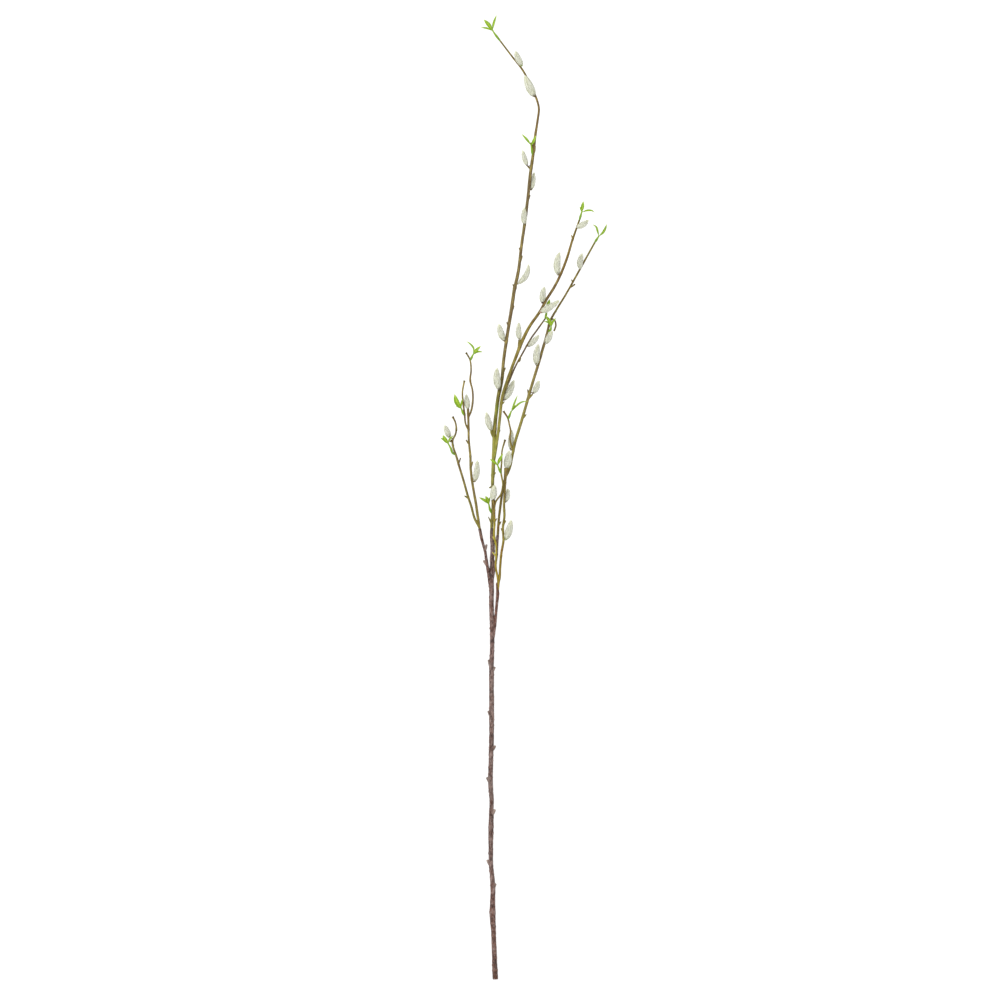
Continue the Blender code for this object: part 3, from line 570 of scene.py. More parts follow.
SLIM_TWIG = [
    (14, 703, 21.5, 0.9), (20.8, 718.2, 20.3, 0.85), (26.9, 733.2, 19.3, 0.85), (37.9, 753.6, 19, 0.85),
    (46.9, 769.4, 19, 0.85), (54.5, 780, 18.8, 0.8), (63.7, 792.8, 18, 0.8),
]
LEADER_TONES = [
    (542, 128, 122, 66), (575, 134, 132, 72), (611, 148, 148, 76), (645, 152, 152, 74), (664, 112, 108, 54),
    (683, 130, 134, 62), (701, 118, 112, 60), (740, 128, 114, 76), (800, 122, 106, 76), (880, 120, 106, 74),
    (960, 112, 96, 72), (988, 132, 118, 66), (1030, 120, 98, 66), (1080, 126, 106, 62),
    (1127, 118, 108, 52),
]
INNER_TONES = [
    (622, 150, 158, 72), (660, 154, 150, 76), (700, 132, 124, 66), (716, 116, 108, 58), (745, 136, 124, 66),
    (785, 134, 116, 60), (815, 114, 94, 66), (867, 130, 106, 58), (912, 122, 108, 58),
]
SLIM_TONES = [(703, 126, 120, 68), (720, 120, 102, 76), (793, 108, 88, 68)]
LEADER_NODES = [
    (605, 0.3, 2), (660, 0.3, 2.2), (707, 0.25, 2), (766, 0.25, 2), (830, 0.35, 1.8), (905, 0.2, 1.4),
]
INNER_NODES = [(758, 0.3, 1.8), (812, 0.3, 1.8), (848, 0.2, 1.6), (888, 0.2, 1.6)]
SLIM_NODES = [(744, 0.12, 1.2), (760, 0.15, 1.2), (783, 0.15, 1.2)]
# Buds: (root, tip, radius at the root, radius at the tip), and the tone of the tip where it is a fresh one.
TALL_BUDS = [
    ((-0.2, 546, 4.9), (-4.4, 555.4, 6), 0.9, 0.5), ((0.8, 592, 8.4), (-3.6, 589.8, 9), 1, 0.6),
    ((7.6, 656, 16.8), (9.9, 659.6, 17.6), 1, 0.5), ((13.4, 728, 18.5), (16.4, 734.4, 19.4), 0.9, 0.5),
    ((20.2, 783, 21.4), (17.4, 789, 22.4), 1, 0.5), ((23.2, 801, 22.2), (26.6, 808.6, 23.4), 1.1, 0.6),
    ((27.4, 828, 23.2), (24.8, 834.6, 24.2), 1, 0.5), ((34, 861, 24), (36.6, 868.6, 25.2), 1, 0.5),
    ((34.8, 872, 24.2), (32.4, 878, 25), 0.9, 0.5), ((42.8, 934, 23.8), (46, 941.4, 24.8), 1, 0.5),
    ((97.2, 888, 26.8), (94.8, 893.8, 27.4), 0.8, 0.4, (198, 178, 84)),
    ((49.6, 995, 20.6), (46.4, 1004.4, 21.8), 1.5, 0.9, (120, 104, 80)),
    ((50.2, 992, 20.6), (51.8, 1000.8, 21.4), 1.4, 0.8, (108, 92, 70)),
    ((11.6, 690, 20.6), (15.2, 693.8, 21.4), 0.9, 0.5), ((32.6, 741, 19.1), (34.8, 745.4, 19.6), 0.8, 0.5),
    ((66, 815, 31), (64.2, 818.6, 31.8), 0.9, 0.4, (192, 172, 76)),
    ((1.6, 651, 13.6), (-0.8, 658.6, 14.6), 1.4, 1.6), ((9.2, 705, 17.6), (8.1, 707.9, 20), 1.4, 1.5),
    ((46.2, 972, 22.2), (42.7, 976.3, 22), 0.8, 0.8), ((17, 764, 20.6), (14.9, 766.8, 21.2), 1.1, 1.1),
    ((1.8, 605, 9.6), (4.4, 608.6, 10.6), 0.9, 0.6), ((32.4, 756.5, 26.8), (32.8, 767.6, 28.2), 1.4, 1.3),
]
TALL_STAINS = [(7.4, 686, 1.2, 4, (112, 150, 40), 0.8), (-0.4, 592, 1.1, 4, (70, 50, 36), 0.6)]
BRANCH_FULLNESS = 0.16
TALL_GRAIN = 0.36


def branch_relief(across, over, run):
    """Height of the young bark: fine long lines, slow lumps and small raised pores lying crosswise."""
    line = noise.fractal(Vector((across * 0.9, over * 0.9, run * 0.05)), 0.8, 2.2, 2)
    lump = noise.noise(Vector((across * 0.25, over * 0.25, run * 0.13)))
    pore = noise.noise(Vector((across * 0.8, over * 0.8, run * 1.5 + 90)))
    return 0.24 + 0.12 * line + 0.2 * lump + 0.6 * max(0.0, pore - 0.36)


def branch_finish():
    """Waxy young bark with pale pores: painted light makes its left olive, painted shade its right browner
    and darker.
    """
    bark = Finish("young_bark", 0.6)
    bark.set("Specular IOR Level", 0.3)
    place = bark.carried("bark_place", "Vector")
    height = bark.carried("relief")
    light_to_shade_side = bark.carried("light_to_shade_side")
    lines = bark.grain(place, (1.7, 1.7, 0.1), 3.0)
    streaks = bark.grain(place, (0.7, 0.7, 0.13), 3.0)
    blotches = bark.grain(place, (0.35, 0.35, 0.16), 3.0)
    specks = bark.grain(place, (1.1, 1.1, 0.8), 2.0)
    bark.set("Base Color", bark.tinted(
        bark.shaded(bark.carried("zone_colour", "Color"), lines + 0.47),
        # Painted shade, broken up by blotches, browner and darker towards each strand's right side, away
        # from the lamp; painted light, paler olive, towards its left.
        (light_to_shade_side + (blotches - 0.5) * 1.8, 0.1, 0.8, 0.45, (106, 82, 44)),
        (light_to_shade_side + (blotches - 0.5) * 1.4, -0.45, -1.0, 0.35, (146, 152, 68)),
        (streaks, 0.52, 0.64, 0.45, (92, 70, 38)),
        (streaks, 0.46, 0.36, 0.5, (178, 160, 90)),
        (specks, 0.62, 0.72, 0.45, (186, 166, 112)),
        (height, 0.36, 0.6, 0.4, (150, 128, 92)),
    ))
    bark.set("Roughness", 0.8 - lines * 0.25)
    bark.raised(lines, 0.00006)
    return bark


def olive_branch(node, seed, grain, strands, buds, stains_and_shade=()):
    """One moulding of young bark in place of its node. Its strands are (points, tones, nodes, end flare)."""
    wood = Wood(seed, BRANCH_FULLNESS)
    for strand in strands:
        wood.strand(*strand)
    for bud in buds:
        wood.bud(*bud)
    wood.stains_and_shade = stains_and_shade
    branch = dressed(node + "_bark", wood, grain, branch_relief, branch_bark)
    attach(branch, "root")
    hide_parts(node)


branch_bark = branch_finish()
TALL_STRANDS = [
    (LEADER, LEADER_TONES, LEADER_NODES), (INNER_BRANCH, INNER_TONES, INNER_NODES),
    (SLIM_TWIG, SLIM_TONES, SLIM_NODES),
]
olive_branch("tall_branch", 21, TALL_GRAIN, TALL_STRANDS, TALL_BUDS, TALL_STAINS)

# ---- The outer branch ----
# The branch on the right, pushed into the small sleeve and bending down to the surface near its tip: one
# moulding with a hooked twiglet near its top and a bare twiglet, with a flared cut end, lower down.

OUTER_BRANCH = [
    (6.4, 525, 5.1, 0.8), (7.05, 533.8, 5.4, 1.25), (7.8, 547.8, 6, 1.2), (10.6, 571.8, 7, 1.25),
    (13.8, 593.4, 8, 1.25), (16.6, 603.4, 8.4, 1.3), (20.5, 611.9, 8.6, 1.35), (24.5, 629.4, 9, 1.4),
    (28.1, 646.2, 9.6, 1.5), (33.6, 664.2, 10.5, 1.5), (39.1, 682.7, 12, 1.5), (46.4, 708.6, 14, 1.5),
    (52.1, 727.1, 15, 1.5), (60, 753.6, 16, 1.4), (66.2, 775.8, 15.4, 1.3), (69.4, 789, 14.4, 1.2),
    (78.6, 805.8, 11.4, 1), (88.2, 821.4, 7.6, 0.95), (100, 842.4, 3, 0.95), (109.7, 859.8, 1.1, 0.9),
    (123.5, 884.8, 1.8, 0.85),
]
OUTER_TWIGLET = [
    (25.4, 634, 9.2, 0.9), (22.6, 642.6, 12.4, 0.85), (21.4, 650.2, 14.6, 0.85), (22.4, 658.2, 16, 0.85),
    (20.8, 666.1, 17, 0.8), (19, 673.4, 18, 0.8), (13.7, 682.2, 19, 0.9),
]
HOOK = [(71, 793, 13.6, 0.75), (74.6, 791.6, 14, 0.75), (76.6, 785.4, 15, 0.8), (74.4, 778, 16, 0.85)]
OUTER_TONES = [
    (534, 128, 112, 66), (539, 132, 112, 60), (543, 142, 100, 58), (547, 136, 124, 66), (593, 130, 110, 56),
    (612, 146, 142, 70), (650, 144, 138, 70), (683, 146, 138, 76), (727, 134, 118, 78), (776, 122, 104, 70),
    (806, 124, 108, 54), (860, 122, 108, 44), (885, 124, 120, 44),
]
OUTER_TWIGLET_TONES = [(634, 138, 126, 66), (660, 132, 112, 62), (682, 122, 98, 60)]
HOOK_TONES = [(778, 120, 104, 60), (793, 124, 110, 60)]
OUTER_NODES = [(608, 0.2, 1.6), (634, 0.2, 1.8), (702, 0.2, 1.8), (760, 0.2, 1.6), (785, 0.25, 1.8)]
OUTER_BUDS = [
    ((8.2, 545, 6), (11, 549.8, 7.4), 0.9, 0.5), ((37.6, 674, 11.5), (41.2, 678.2, 12.6), 1, 0.6),
    ((44.4, 700, 13.5), (42.6, 708.2, 14.6), 1, 0.6), ((43.2, 696, 13.2), (48.8, 702.6, 15.6), 1, 0.9),
    ((93.4, 830, 5.7), (99.8, 834.4, 6.4), 0.7, 0.8), ((97.4, 835.6, 4.6), (95.2, 840.2, 5.6), 0.8, 0.4),
    ((76.6, 800.6, 12.2), (78.2, 804.6, 13.6), 0.6, 0.5, (124, 142, 50)),
]
TWIG_FLARE = 0.35
TWIG_GRAIN = 0.3

OUTER_STRANDS = [
    (OUTER_BRANCH, OUTER_TONES, OUTER_NODES),
    (OUTER_TWIGLET, OUTER_TWIGLET_TONES, [(658, 0.15, 1.2)], TWIG_FLARE), (HOOK, HOOK_TONES),
]
olive_branch("outer_branch", 22, TWIG_GRAIN, OUTER_STRANDS, OUTER_BUDS)

# ---- The left branch ----
# Two slim branches side by side in the left sleeve, moulded as one: the outer one bends over at its top,
# and the inner one carries a side twig and a twiglet. Their bare ends are cut and slightly flared.

LEFT_OUTER = [
    (-12.9, 532, 6.5, 0.8), (-15, 541.9, 7.1, 1.25), (-20.6, 552.6, 7.8, 1.2), (-25.2, 568.8, 8.2, 1.2),
    (-28.9, 580, 8, 1.2), (-34, 598.2, 7.3, 1.15), (-39.5, 616.2, 6.5, 1.15), (-43.2, 629, 6, 1.1),
    (-46.8, 640.2, 5.6, 1.05), (-47.3, 646.7, 5.7, 1), (-44, 654, 7.6, 0.9), (-42.8, 660.1, 9.4, 0.9),
    (-44, 668.6, 11.4, 0.85), (-47.2, 675.5, 13, 0.95),
]
LEFT_INNER = [
    (-12.9, 532, 6.5, 0.8), (-15, 542, 7.2, 1.25), (-16.9, 554.5, 9.2, 1.35), (-19.4, 571.8, 11.8, 1.35),
    (-22.9, 591.6, 14.2, 1.3), (-25.4, 611, 16.2, 1.3), (-26, 628.2, 17.8, 1.2), (-27.8, 646.7, 19, 1.15),
    (-28.2, 664, 20, 1.15), (-28.8, 684.6, 21, 1.3),
]
LEFT_SIDE_TWIG = [
    (-28.2, 674.5, 20.5, 0.9), (-25.4, 681, 21.3, 0.95), (-23.2, 692, 22.4, 0.95), (-23.3, 706.2, 24, 0.9),
    (-26.2, 719.6, 24.2, 0.95), (-25.1, 731, 23.2, 0.85), (-26.6, 744, 21.8, 0.8), (-31.2, 752.4, 21, 0.85),
]
LEFT_TWIGLET = [
    (-28.4, 659.5, 19.8, 0.9), (-31.6, 666.6, 21, 0.85), (-32.9, 678, 22.4, 0.9), (-34.6, 691.8, 23, 0.9),
    (-35.5, 704.3, 24.4, 0.8), (-33.1, 718.7, 27, 0.9),
]
LEFT_OUTER_TONES = [
    (542, 132, 124, 62), (580, 128, 120, 66), (616, 122, 104, 64), (640, 126, 120, 70), (675, 120, 102, 62),
]
LEFT_INNER_TONES = [(542, 134, 124, 62), (592, 126, 110, 70), (628, 134, 122, 72), (684, 124, 106, 68)]
LEFT_SIDE_TONES = [(674, 126, 110, 70), (720, 122, 102, 70), (744, 118, 106, 64)]
LEFT_TWIGLET_TONES = [(659, 126, 112, 66), (684, 108, 88, 56), (700, 120, 102, 56), (718, 134, 120, 60)]
LEFT_OUTER_NODES = [(580, 0.15, 1.4), (618, 0.2, 1.4), (641, 0.2, 1.5), (660, 0.2, 1.5)]
LEFT_BUDS = [
    ((-28.2, 577, 8), (-33.2, 580.6, 8.8), 0.9, 0.6), ((-40.3, 619, 6.4), (-37.6, 626, 8.4), 0.9, 0.6),
    ((-47.2, 645.6, 5.6), (-50.8, 645.8, 5.4), 0.8, 0.8),
    ((-27.6, 642, 18.8), (-31.4, 647.8, 19.6), 0.9, 0.6),
    ((-25.4, 614, 16.6), (-22.9, 621.8, 18.2), 0.9, 0.5),
    ((-46.9, 643.4, 5.8), (-49.2, 647.6, 7.6), 1, 0.9, (78, 58, 42)),
]

LEFT_STRANDS = [
    (LEFT_OUTER, LEFT_OUTER_TONES, LEFT_OUTER_NODES, TWIG_FLARE),
    (LEFT_INNER, LEFT_INNER_TONES, [(600, 0.15, 1.4), (628, 0.2, 1.4), (660, 0.2, 1.5)]),
    (LEFT_SIDE_TWIG, LEFT_SIDE_TONES, [(692, 0.15, 1.2), (719, 0.2, 1.3)], TWIG_FLARE),
    (LEFT_TWIGLET, LEFT_TWIGLET_TONES, [(678, 0.2, 1.2), (692, 0.15, 1.2)], TWIG_FLARE),
]
olive_branch("left_branch", 23, TWIG_GRAIN, LEFT_STRANDS, LEFT_BUDS)

# ---- The right branch ----
# Two short branches in front, in the right sleeve and moulded as one, yellower than the others. Each ends
# in a wide socket for a catkin, and the inner one carries a side twig.

RIGHT_OUTER = [
    (7, 463, 8.2, 0.7), (7.6, 471, 9.2, 1.1), (8.1, 476.6, 9.8, 1.2), (9, 481, 9.8, 1.25),
    (9.6, 491.9, 10.5, 1.2), (11.2, 510.6, 12, 1.2), (13.9, 529, 13.5, 1.25), (13.1, 541.2, 14.5, 1.2),
    (14.9, 556.6, 15.3, 1.2), (14.5, 567, 15.8, 1.2), (15.2, 585, 16.7, 1.25), (15.8, 600, 17.5, 1.5),
    (17.2, 613.8, 18.2, 2.3),
]
RIGHT_INNER = [
    (7, 463, 8.2, 0.7), (7.5, 471, 9.2, 1.1), (7.5, 476.6, 9.8, 1.2), (6.9, 482, 10.1, 1.15),
    (4.6, 494.3, 11, 1), (5, 508.4, 12.4, 1), (5, 520.2, 13.4, 1.05), (2.5, 532.6, 14.6, 1.05),
    (3, 546, 15.7, 1.05), (2.4, 561.5, 16.8, 1.4), (1.4, 575.4, 18, 2.1),
]
RIGHT_SIDE_TWIG = [
    (2.4, 563, 17, 0.9), (4.6, 573.4, 18.2, 0.85), (10.6, 582.2, 19.4, 0.85), (13, 592, 20.8, 0.85),
    (10.8, 609, 22.9, 0.85), (11.6, 621, 24.6, 0.8), (11.9, 633, 26.5, 0.75), (15.8, 647.8, 28.5, 0.9),
]
RIGHT_OUTER_TONES = [
    (472, 150, 132, 54), (492, 144, 124, 52), (505, 142, 120, 46), (515, 140, 106, 36), (525, 136, 120, 48),
    (556, 136, 128, 62), (585, 128, 112, 60), (614, 132, 114, 68),
]
RIGHT_INNER_TONES = [
    (472, 152, 132, 54), (494, 156, 134, 54), (508, 166, 154, 60), (546, 164, 150, 56), (560, 124, 104, 60),
    (575, 92, 72, 46),
]
RIGHT_SIDE_TONES = [(563, 124, 108, 64), (592, 126, 116, 56), (633, 136, 128, 62), (648, 120, 102, 60)]
RIGHT_NODES = [(508, 0.15, 1.2), (530, 0.2, 1.4), (546, 0.15, 1.2), (563, 0.2, 1.3), (596, 0.25, 1.8)]
RIGHT_BUDS = [
    ((4.6, 508, 12.4), (0.6, 512.8, 13.8), 0.8, 0.5, (216, 206, 104)),
    ((3.4, 527, 14.2), (0.9, 531.4, 15.4), 0.8, 0.5, (210, 200, 100)),
    ((3, 549, 15.9), (6.2, 553.6, 16.2), 0.8, 0.5), ((13.8, 546, 14.8), (16.8, 550.8, 15.6), 0.9, 0.5),
    ((13, 537, 14.3), (10.8, 541.6, 15.4), 0.8, 0.5), ((15.2, 591, 17), (13.4, 599, 18.2), 0.9, 0.7),
]

RIGHT_STRANDS = [
    (RIGHT_OUTER, RIGHT_OUTER_TONES, RIGHT_NODES), (RIGHT_INNER, RIGHT_INNER_TONES, RIGHT_NODES),
    (RIGHT_SIDE_TWIG, RIGHT_SIDE_TONES, [(592, 0.15, 1.2), (621, 0.12, 1.2)], TWIG_FLARE),
]
olive_branch("right_branch", 24, TWIG_GRAIN, RIGHT_STRANDS, RIGHT_BUDS)

# ---- The catkins ----
# Each is a plump foam body flocked with long silver-green hairs that lean towards its tip, pushed
# onto the bark with a small brown bud scale round its base. The hairs end pale and cream at the tip.

# A catkin: (base, tip, radius, how far it bows to its left).
CATKINS = {
    "top_1": ((35.6, 1097.6, 12.4), (28, 1114, 16), 3.7, 0.6),
    "top_2": ((50.6, 1060.8, 16.4), (39.5, 1085, 20.5), 5.6, 0.6),
    "top_3": ((41.9, 977.4, 22), (36.7, 995.2, 21), 3, 0.5),
    "top_4": ((47.4, 948.8, 20.4), (50.4, 968.8, 16.6), 3, -0.4),
    "top_5": ((38.6, 907.3, 27.6), (39.2, 926.5, 33.5), 3.7, 0.5),
    "top_6": ((31.6, 835.6, 24), (44, 858.4, 27), 3.4, -3.4),
    "top_7": ((14.2, 767.6, 21.4), (8.4, 786.6, 23.4), 4.1, 0.8),
    "top_8": ((7.6, 709.2, 21.8), (6.2, 734.3, 26), 4.5, 1.2),
    "top_9": ((-1.2, 659.8, 14.9), (-6.8, 680.6, 17), 4, 0.6),
    "inner_1": ((102.5, 902.6, 28.4), (115.9, 911.5, 30), 3.7, -1),
    "inner_2": ((79.2, 846.8, 30.8), (81.1, 873, 32), 4.5, 1.8),
    "inner_3": ((60.2, 813, 31.6), (62.8, 831.5, 32.6), 3.7, 0.5),
    "inner_4": ((58.6, 801, 33.6), (80.6, 814.9, 39), 4.1, -0.8),
    "inner_5": ((33, 768.6, 28.2), (32.4, 788.4, 30), 3.5, 0.8),
    "inner_6": ((13.6, 696.1, 18.4), (26.4, 719.4, 11.6), 4.7, -1.2),
    "slim_1": ((44.6, 760.6, 20.8), (56.5, 773.5, 25.6), 3.1, -0.4),
    "outer_1": ((105.6, 853.6, 4.2), (108.4, 871.4, 7.4), 3.7, 1.2),
    "outer_2": ((64.8, 763.9, 19.2), (71.8, 778.4, 24), 3.7, -0.5),
    "outer_3": ((53.2, 738.6, 18.9), (55.7, 762.4, 23.4), 4.2, 1),
    "outer_4": ((50.2, 704.4, 16.6), (56.2, 718.8, 21.4), 3.6, -0.6),
    "outer_5": ((22.6, 636.7, 6.4), (23.8, 659.4, 4), 3.6, 0.5),
    "right_1": ((1.4, 576, 18.15), (3.1, 593.4, 21.4), 4.3, 0.5),
    "right_2": ((16, 529, 14.6), (22.8, 551.6, 20), 4.6, -0.9),
    "right_3": ((16.8, 574.2, 13.2), (19.2, 589.2, 10), 3.4, -0.4),
    "right_4": ((17.3, 614.4, 18.3), (20.4, 634.6, 21.4), 4.9, -0.5),
    "left_1": ((-50.9, 651, 4.3), (-56.9, 665.4, 3), 3.5, 0.3),
    "left_2": ((-28.9, 685.4, 21), (-30.8, 702.2, 18), 3.6, 0.4),
    "left_3": ((-20.4, 598.7, 15.4), (-17.8, 623.4, 18), 3.7, -1),
}
CATKINS_ON_ENDS = ("right_1", "right_4", "left_2")
# Girth along a catkin: (share of its length, share of its radius).
CATKIN_PROFILE = ((0, 0.36), (0.1, 0.78), (0.28, 1.04), (0.5, 0.98), (0.74, 0.72), (0.9, 0.4), (1, 0.1))
GAP = 0.35
BARK_DEPTH = 0.4  # share of the wood's radius at which a stalk is rooted
CORE_SHARE = 0.8  # of a catkin's girth, the rest being hair
CORE_SIDES = 28
CORE_SPACING = 0.45
TUFTS_TO_AREA = 7.0  # for each square millimetre of a catkin's length times its radius
TUFT_DEPTH = 0.92  # share of the core's girth where a tuft is rooted
TUFT_SETBACK = 1.3  # how far behind its place a tuft is rooted, so that the first come out of the cup
LAST_TUFT = 0.96  # share of the length where the last ones grow
STRAY_SHARE = 0.35  # of the tufts, those that are single stray hairs
TUFT_SIDES = 6
TUFT_LENGTH = (2.4, 4.0)
TUFT_HALF_WIDTH = (0.2, 0.36)
TUFT_HALF_THICKNESS = 0.13
STRAY_HALF_WIDTH = 0.07
TUFT_STEPS = ((0, 0.7), (0.28, 1.0), (0.58, 0.82), (0.84, 0.42))  # share of its length and of its width
TUFT_LEAN = (0.62, 0.1)  # outwards at its root and towards its end
TUFT_MESS = 0.08
STRAY_MESS = 0.2
PALENESS = 0.45
PALENESS_SWING = 0.9
PALENESS_SCATTER = 0.2  # from one tuft to the next
PATCHES_ROUND = 1.9
PATCHES_ALONG = 1.6
CUP_SIDES = 24
CUP_SPACING = 0.3
CUP_DEPTH = 1.2  # how far a bud scale reaches back from the base, and how far up round it
CUP_RISE = 1.5
CUP_SHARES = (0.16, 0.36, 0.54)  # of the catkin's radius, at the scale's foot, at the base and at its rim
CUP_FOOT = 0.3  # added to the foot's radius
CUP_LOBE = 0.5
STALK_RADIUS = 0.5
STALK_SHARE = 0.75  # of the way back to its root
CUP_BROWN = (112, 94, 58)
CATKIN_SEED = 100
CUP_TONES = {
    "top_1": (140, 158, 70), "right_2": (140, 160, 70), "top_9": (140, 136, 70), "inner_4": (176, 140, 122),
    "top_3": (84, 62, 42), "top_8": (96, 78, 44), "outer_2": (84, 64, 48), "inner_3": (92, 68, 46),
    "left_3": (120, 104, 60),
}


def seated(base, clearance):
    """Where a base sits just off the nearest bark, and the place inside that bark that it grows from."""
    rings = np.concatenate(wood_rings)
    away = np.array(base) - rings[:, :3]
    distance = np.linalg.norm(away, axis=1)
    nearest = int((distance - rings[:, 3]).argmin())
    direction = away[nearest] / distance[nearest]
    middle = rings[nearest, :3]
    reach = max(rings[nearest, 3] + clearance, distance[nearest])
    return middle + direction * reach, middle + direction * rings[nearest, 3] * BARK_DEPTH


def catkin_route(base, tip, radius, bow):
    """Stations along a catkin's bowed middle, with its girth and its share of the length."""
    base = np.array(base)
    tip = np.array(tip)
    sideways = normalised(np.cross(tip - base, (0, 0, 1)))
    points = []
    for share, girth in CATKIN_PROFILE:
        middle = base + (tip - base) * share - sideways * bow * math.sin(math.pi * share)
        points.append((*middle, girth * radius, share))
    return smooth_route(points, CORE_SPACING)


def tuft_tones(turns, shares):
    """How pale the tufts are, from their place round the catkin and along it."""
    tones = []
    for turn, share in zip(turns, shares, strict=True):
        facing = (math.cos(turn) * PATCHES_ROUND, math.sin(turn) * PATCHES_ROUND)
        tones.append(PALENESS + PALENESS_SWING * noise.noise(Vector((*facing, share * PATCHES_ALONG))))
    return np.array(tones)


def core(route):
    """The soft body under the hair: corners, faces, tone, reach, share and comb."""
    corners, faces = sweep(route, round_sections(route[:, 3] * CORE_SHARE, CORE_SIDES))
    turn = np.tile(np.arange(CORE_SIDES) * 2 * math.pi / CORE_SIDES, len(route))
    share = np.repeat(route[:, 4], CORE_SIDES)
    return corners, faces, tuft_tones(turn, share), np.zeros(len(corners)), share, np.cos(turn * 5)


def tufts(route, radius, chance):
    """A coat of tapered, flattened tufts of hair: corners, faces, tone, reach, share and comb."""
    number = int(TUFTS_TO_AREA * len(route) * CORE_SPACING * radius)
    weight = route[:-1, 3] * (route[:-1, 4] < LAST_TUFT)
    pick = chance.choice(len(route) - 1, number, p=weight / weight.sum())
    along = chance.random(number)[:, None]
    here = route[pick] * (1 - along) + route[pick + 1] * along
    ahead, side, lift = (rows[pick] for rows in cross_directions(route))
    turn = chance.uniform(-math.pi, math.pi, number)
    out = np.cos(turn)[:, None] * side + np.sin(turn)[:, None] * lift
    stray = chance.random(number) < STRAY_SHARE
    mess = np.where(stray, STRAY_MESS, TUFT_MESS)[:, None]
    first = normalised(out * TUFT_LEAN[0] + ahead + chance.normal(0, 1, (number, 3)) * mess)
    last = normalised(out * TUFT_LEAN[1] + ahead + chance.normal(0, 1, (number, 3)) * mess)
    length = chance.uniform(*TUFT_LENGTH, number) * (0.5 + 0.5 * here[:, 3] / radius)
    width = np.where(stray, STRAY_HALF_WIDTH, chance.uniform(*TUFT_HALF_WIDTH, number))
    thickness = np.where(stray, STRAY_HALF_WIDTH, TUFT_HALF_THICKNESS)
    centre = here[:, :3] + out * here[:, 3:4] * CORE_SHARE * TUFT_DEPTH - ahead * TUFT_SETBACK
    ring = np.arange(TUFT_SIDES) * 2 * math.pi / TUFT_SIDES
    rows = []
    before = 0.0
    for step, girth in (*TUFT_STEPS, (1.0, 0.0)):
        heading = normalised(first * (1 - step) + last * step)
        centre = centre + heading * (length * (step - before))[:, None]
        before = step
        if girth == 0:
            rows.append(centre[:, None])
            break
        flank = normalised(np.cross(heading, out))
        rise = np.cross(flank, heading)
        spread = (np.cos(ring) * (width * girth)[:, None])[..., None] * flank[:, None]
        spread = spread + (np.sin(ring) * (thickness * girth)[:, None])[..., None] * rise[:, None]
        rows.append(centre[:, None] + spread)
    corners = np.concatenate(rows, axis=1)
    each = corners.shape[1]
    start = each * np.arange(number)[:, None]
    faces = []
    for corner in range(TUFT_SIDES):
        after = (corner + 1) % TUFT_SIDES
        for low in range(0, each - 1 - TUFT_SIDES, TUFT_SIDES):
            high = low + TUFT_SIDES
            faces += (start + (low + corner, low + after, high + after, high + corner)).tolist()
        top = each - 1 - TUFT_SIDES
        faces += (start + (top + corner, top + after, each - 1)).tolist()
    faces += (start + np.arange(TUFT_SIDES)[::-1]).tolist()
    tone = np.repeat(tuft_tones(turn, here[:, 4]) + chance.normal(0, PALENESS_SCATTER, number), each)
    reach = np.tile([*np.repeat([step for step, girth in TUFT_STEPS], TUFT_SIDES), 1.0], number)
    comb = np.tile([*np.tile(np.cos(ring), len(TUFT_STEPS)), 0.0], number)
    return corners.reshape(-1, 3), faces, tone, reach, np.repeat(here[:, 4], each), comb


def cup(seat, root, ahead, radius, phase):
    """The bud scale round its base, on a short stalk. Of the hair's four things it carries only reach."""
    foot = seat - ahead * CUP_DEPTH
    inner = foot + (root - foot) * STALK_SHARE
    at_foot, at_seat, at_rim = (share * radius for share in CUP_SHARES)
    line = [(*inner, STALK_RADIUS), (*foot, at_foot + CUP_FOOT), (*seat, at_seat)]
    route = smooth_route([*line, (*(seat + ahead * CUP_RISE), at_rim)], CUP_SPACING)
    corners, faces = sweep(route, round_sections(route[:, 3], CUP_SIDES))
    reach = np.linspace(0, 1, len(route))
    lobes = np.cos(np.arange(CUP_SIDES) * 4 * math.pi / CUP_SIDES + phase) * CUP_LOBE
    corners = corners.reshape(-1, CUP_SIDES, 3)
    corners = corners + ahead * lobes[None, :, None] * (reach**2)[:, None, None]
    blank = np.zeros(corners.size // 3)
    return corners.reshape(-1, 3), faces, blank, np.repeat(reach, CUP_SIDES), blank, blank


def one_mesh(name, parts, names):
    """One mesh of closed parts, each with its corners, its faces and what it carries under each name."""
    corners, faces = joined(parts)
    mesh = bpy.data.meshes.new(name)
    mesh.from_pydata(in_frame(corners), [], faces)
    for column, carried_name in enumerate(names, 2):
        carry(mesh, carried_name, np.concatenate([part[column] for part in parts]))
    carry(mesh, "place", corners)
    mesh.shade_smooth()
    return mesh


def fluff_finish():
    """Silver-green flock, darker and greener at the hairs' roots, nearly white at their ends."""
    fluff = Finish("silver_fluff", 0.95)
    fluff.set("Sheen Weight", 0.3)
    tone, reach, share, comb = (fluff.carried(name) for name in CATKIN_CARRIES)
    combed = fluff.node("ShaderNodeCombineXYZ", {}, {"X": comb * 4.5, "Y": tone * 30, "Z": reach * 1.2})
    hair = fluff.node("ShaderNodeTexNoise", {}, {"Vector": combed, "Scale": 1.0, "Detail": 2.0})
    fluff.set("Base Color", fluff.tinted(
        paint(206, 208, 176),
        (tone, 0.0, 1.0, 1.0, (250, 251, 238)),
        (share, 0.6, 1.0, 0.45, (228, 229, 180)),
        (hair, 0.52, 0.36, 0.35, (182, 183, 148)),
        (reach, 0.3, 1.0, 0.55, (254, 254, 244)),
    ))
    fluff.raised(hair, 0.0001)
    return fluff


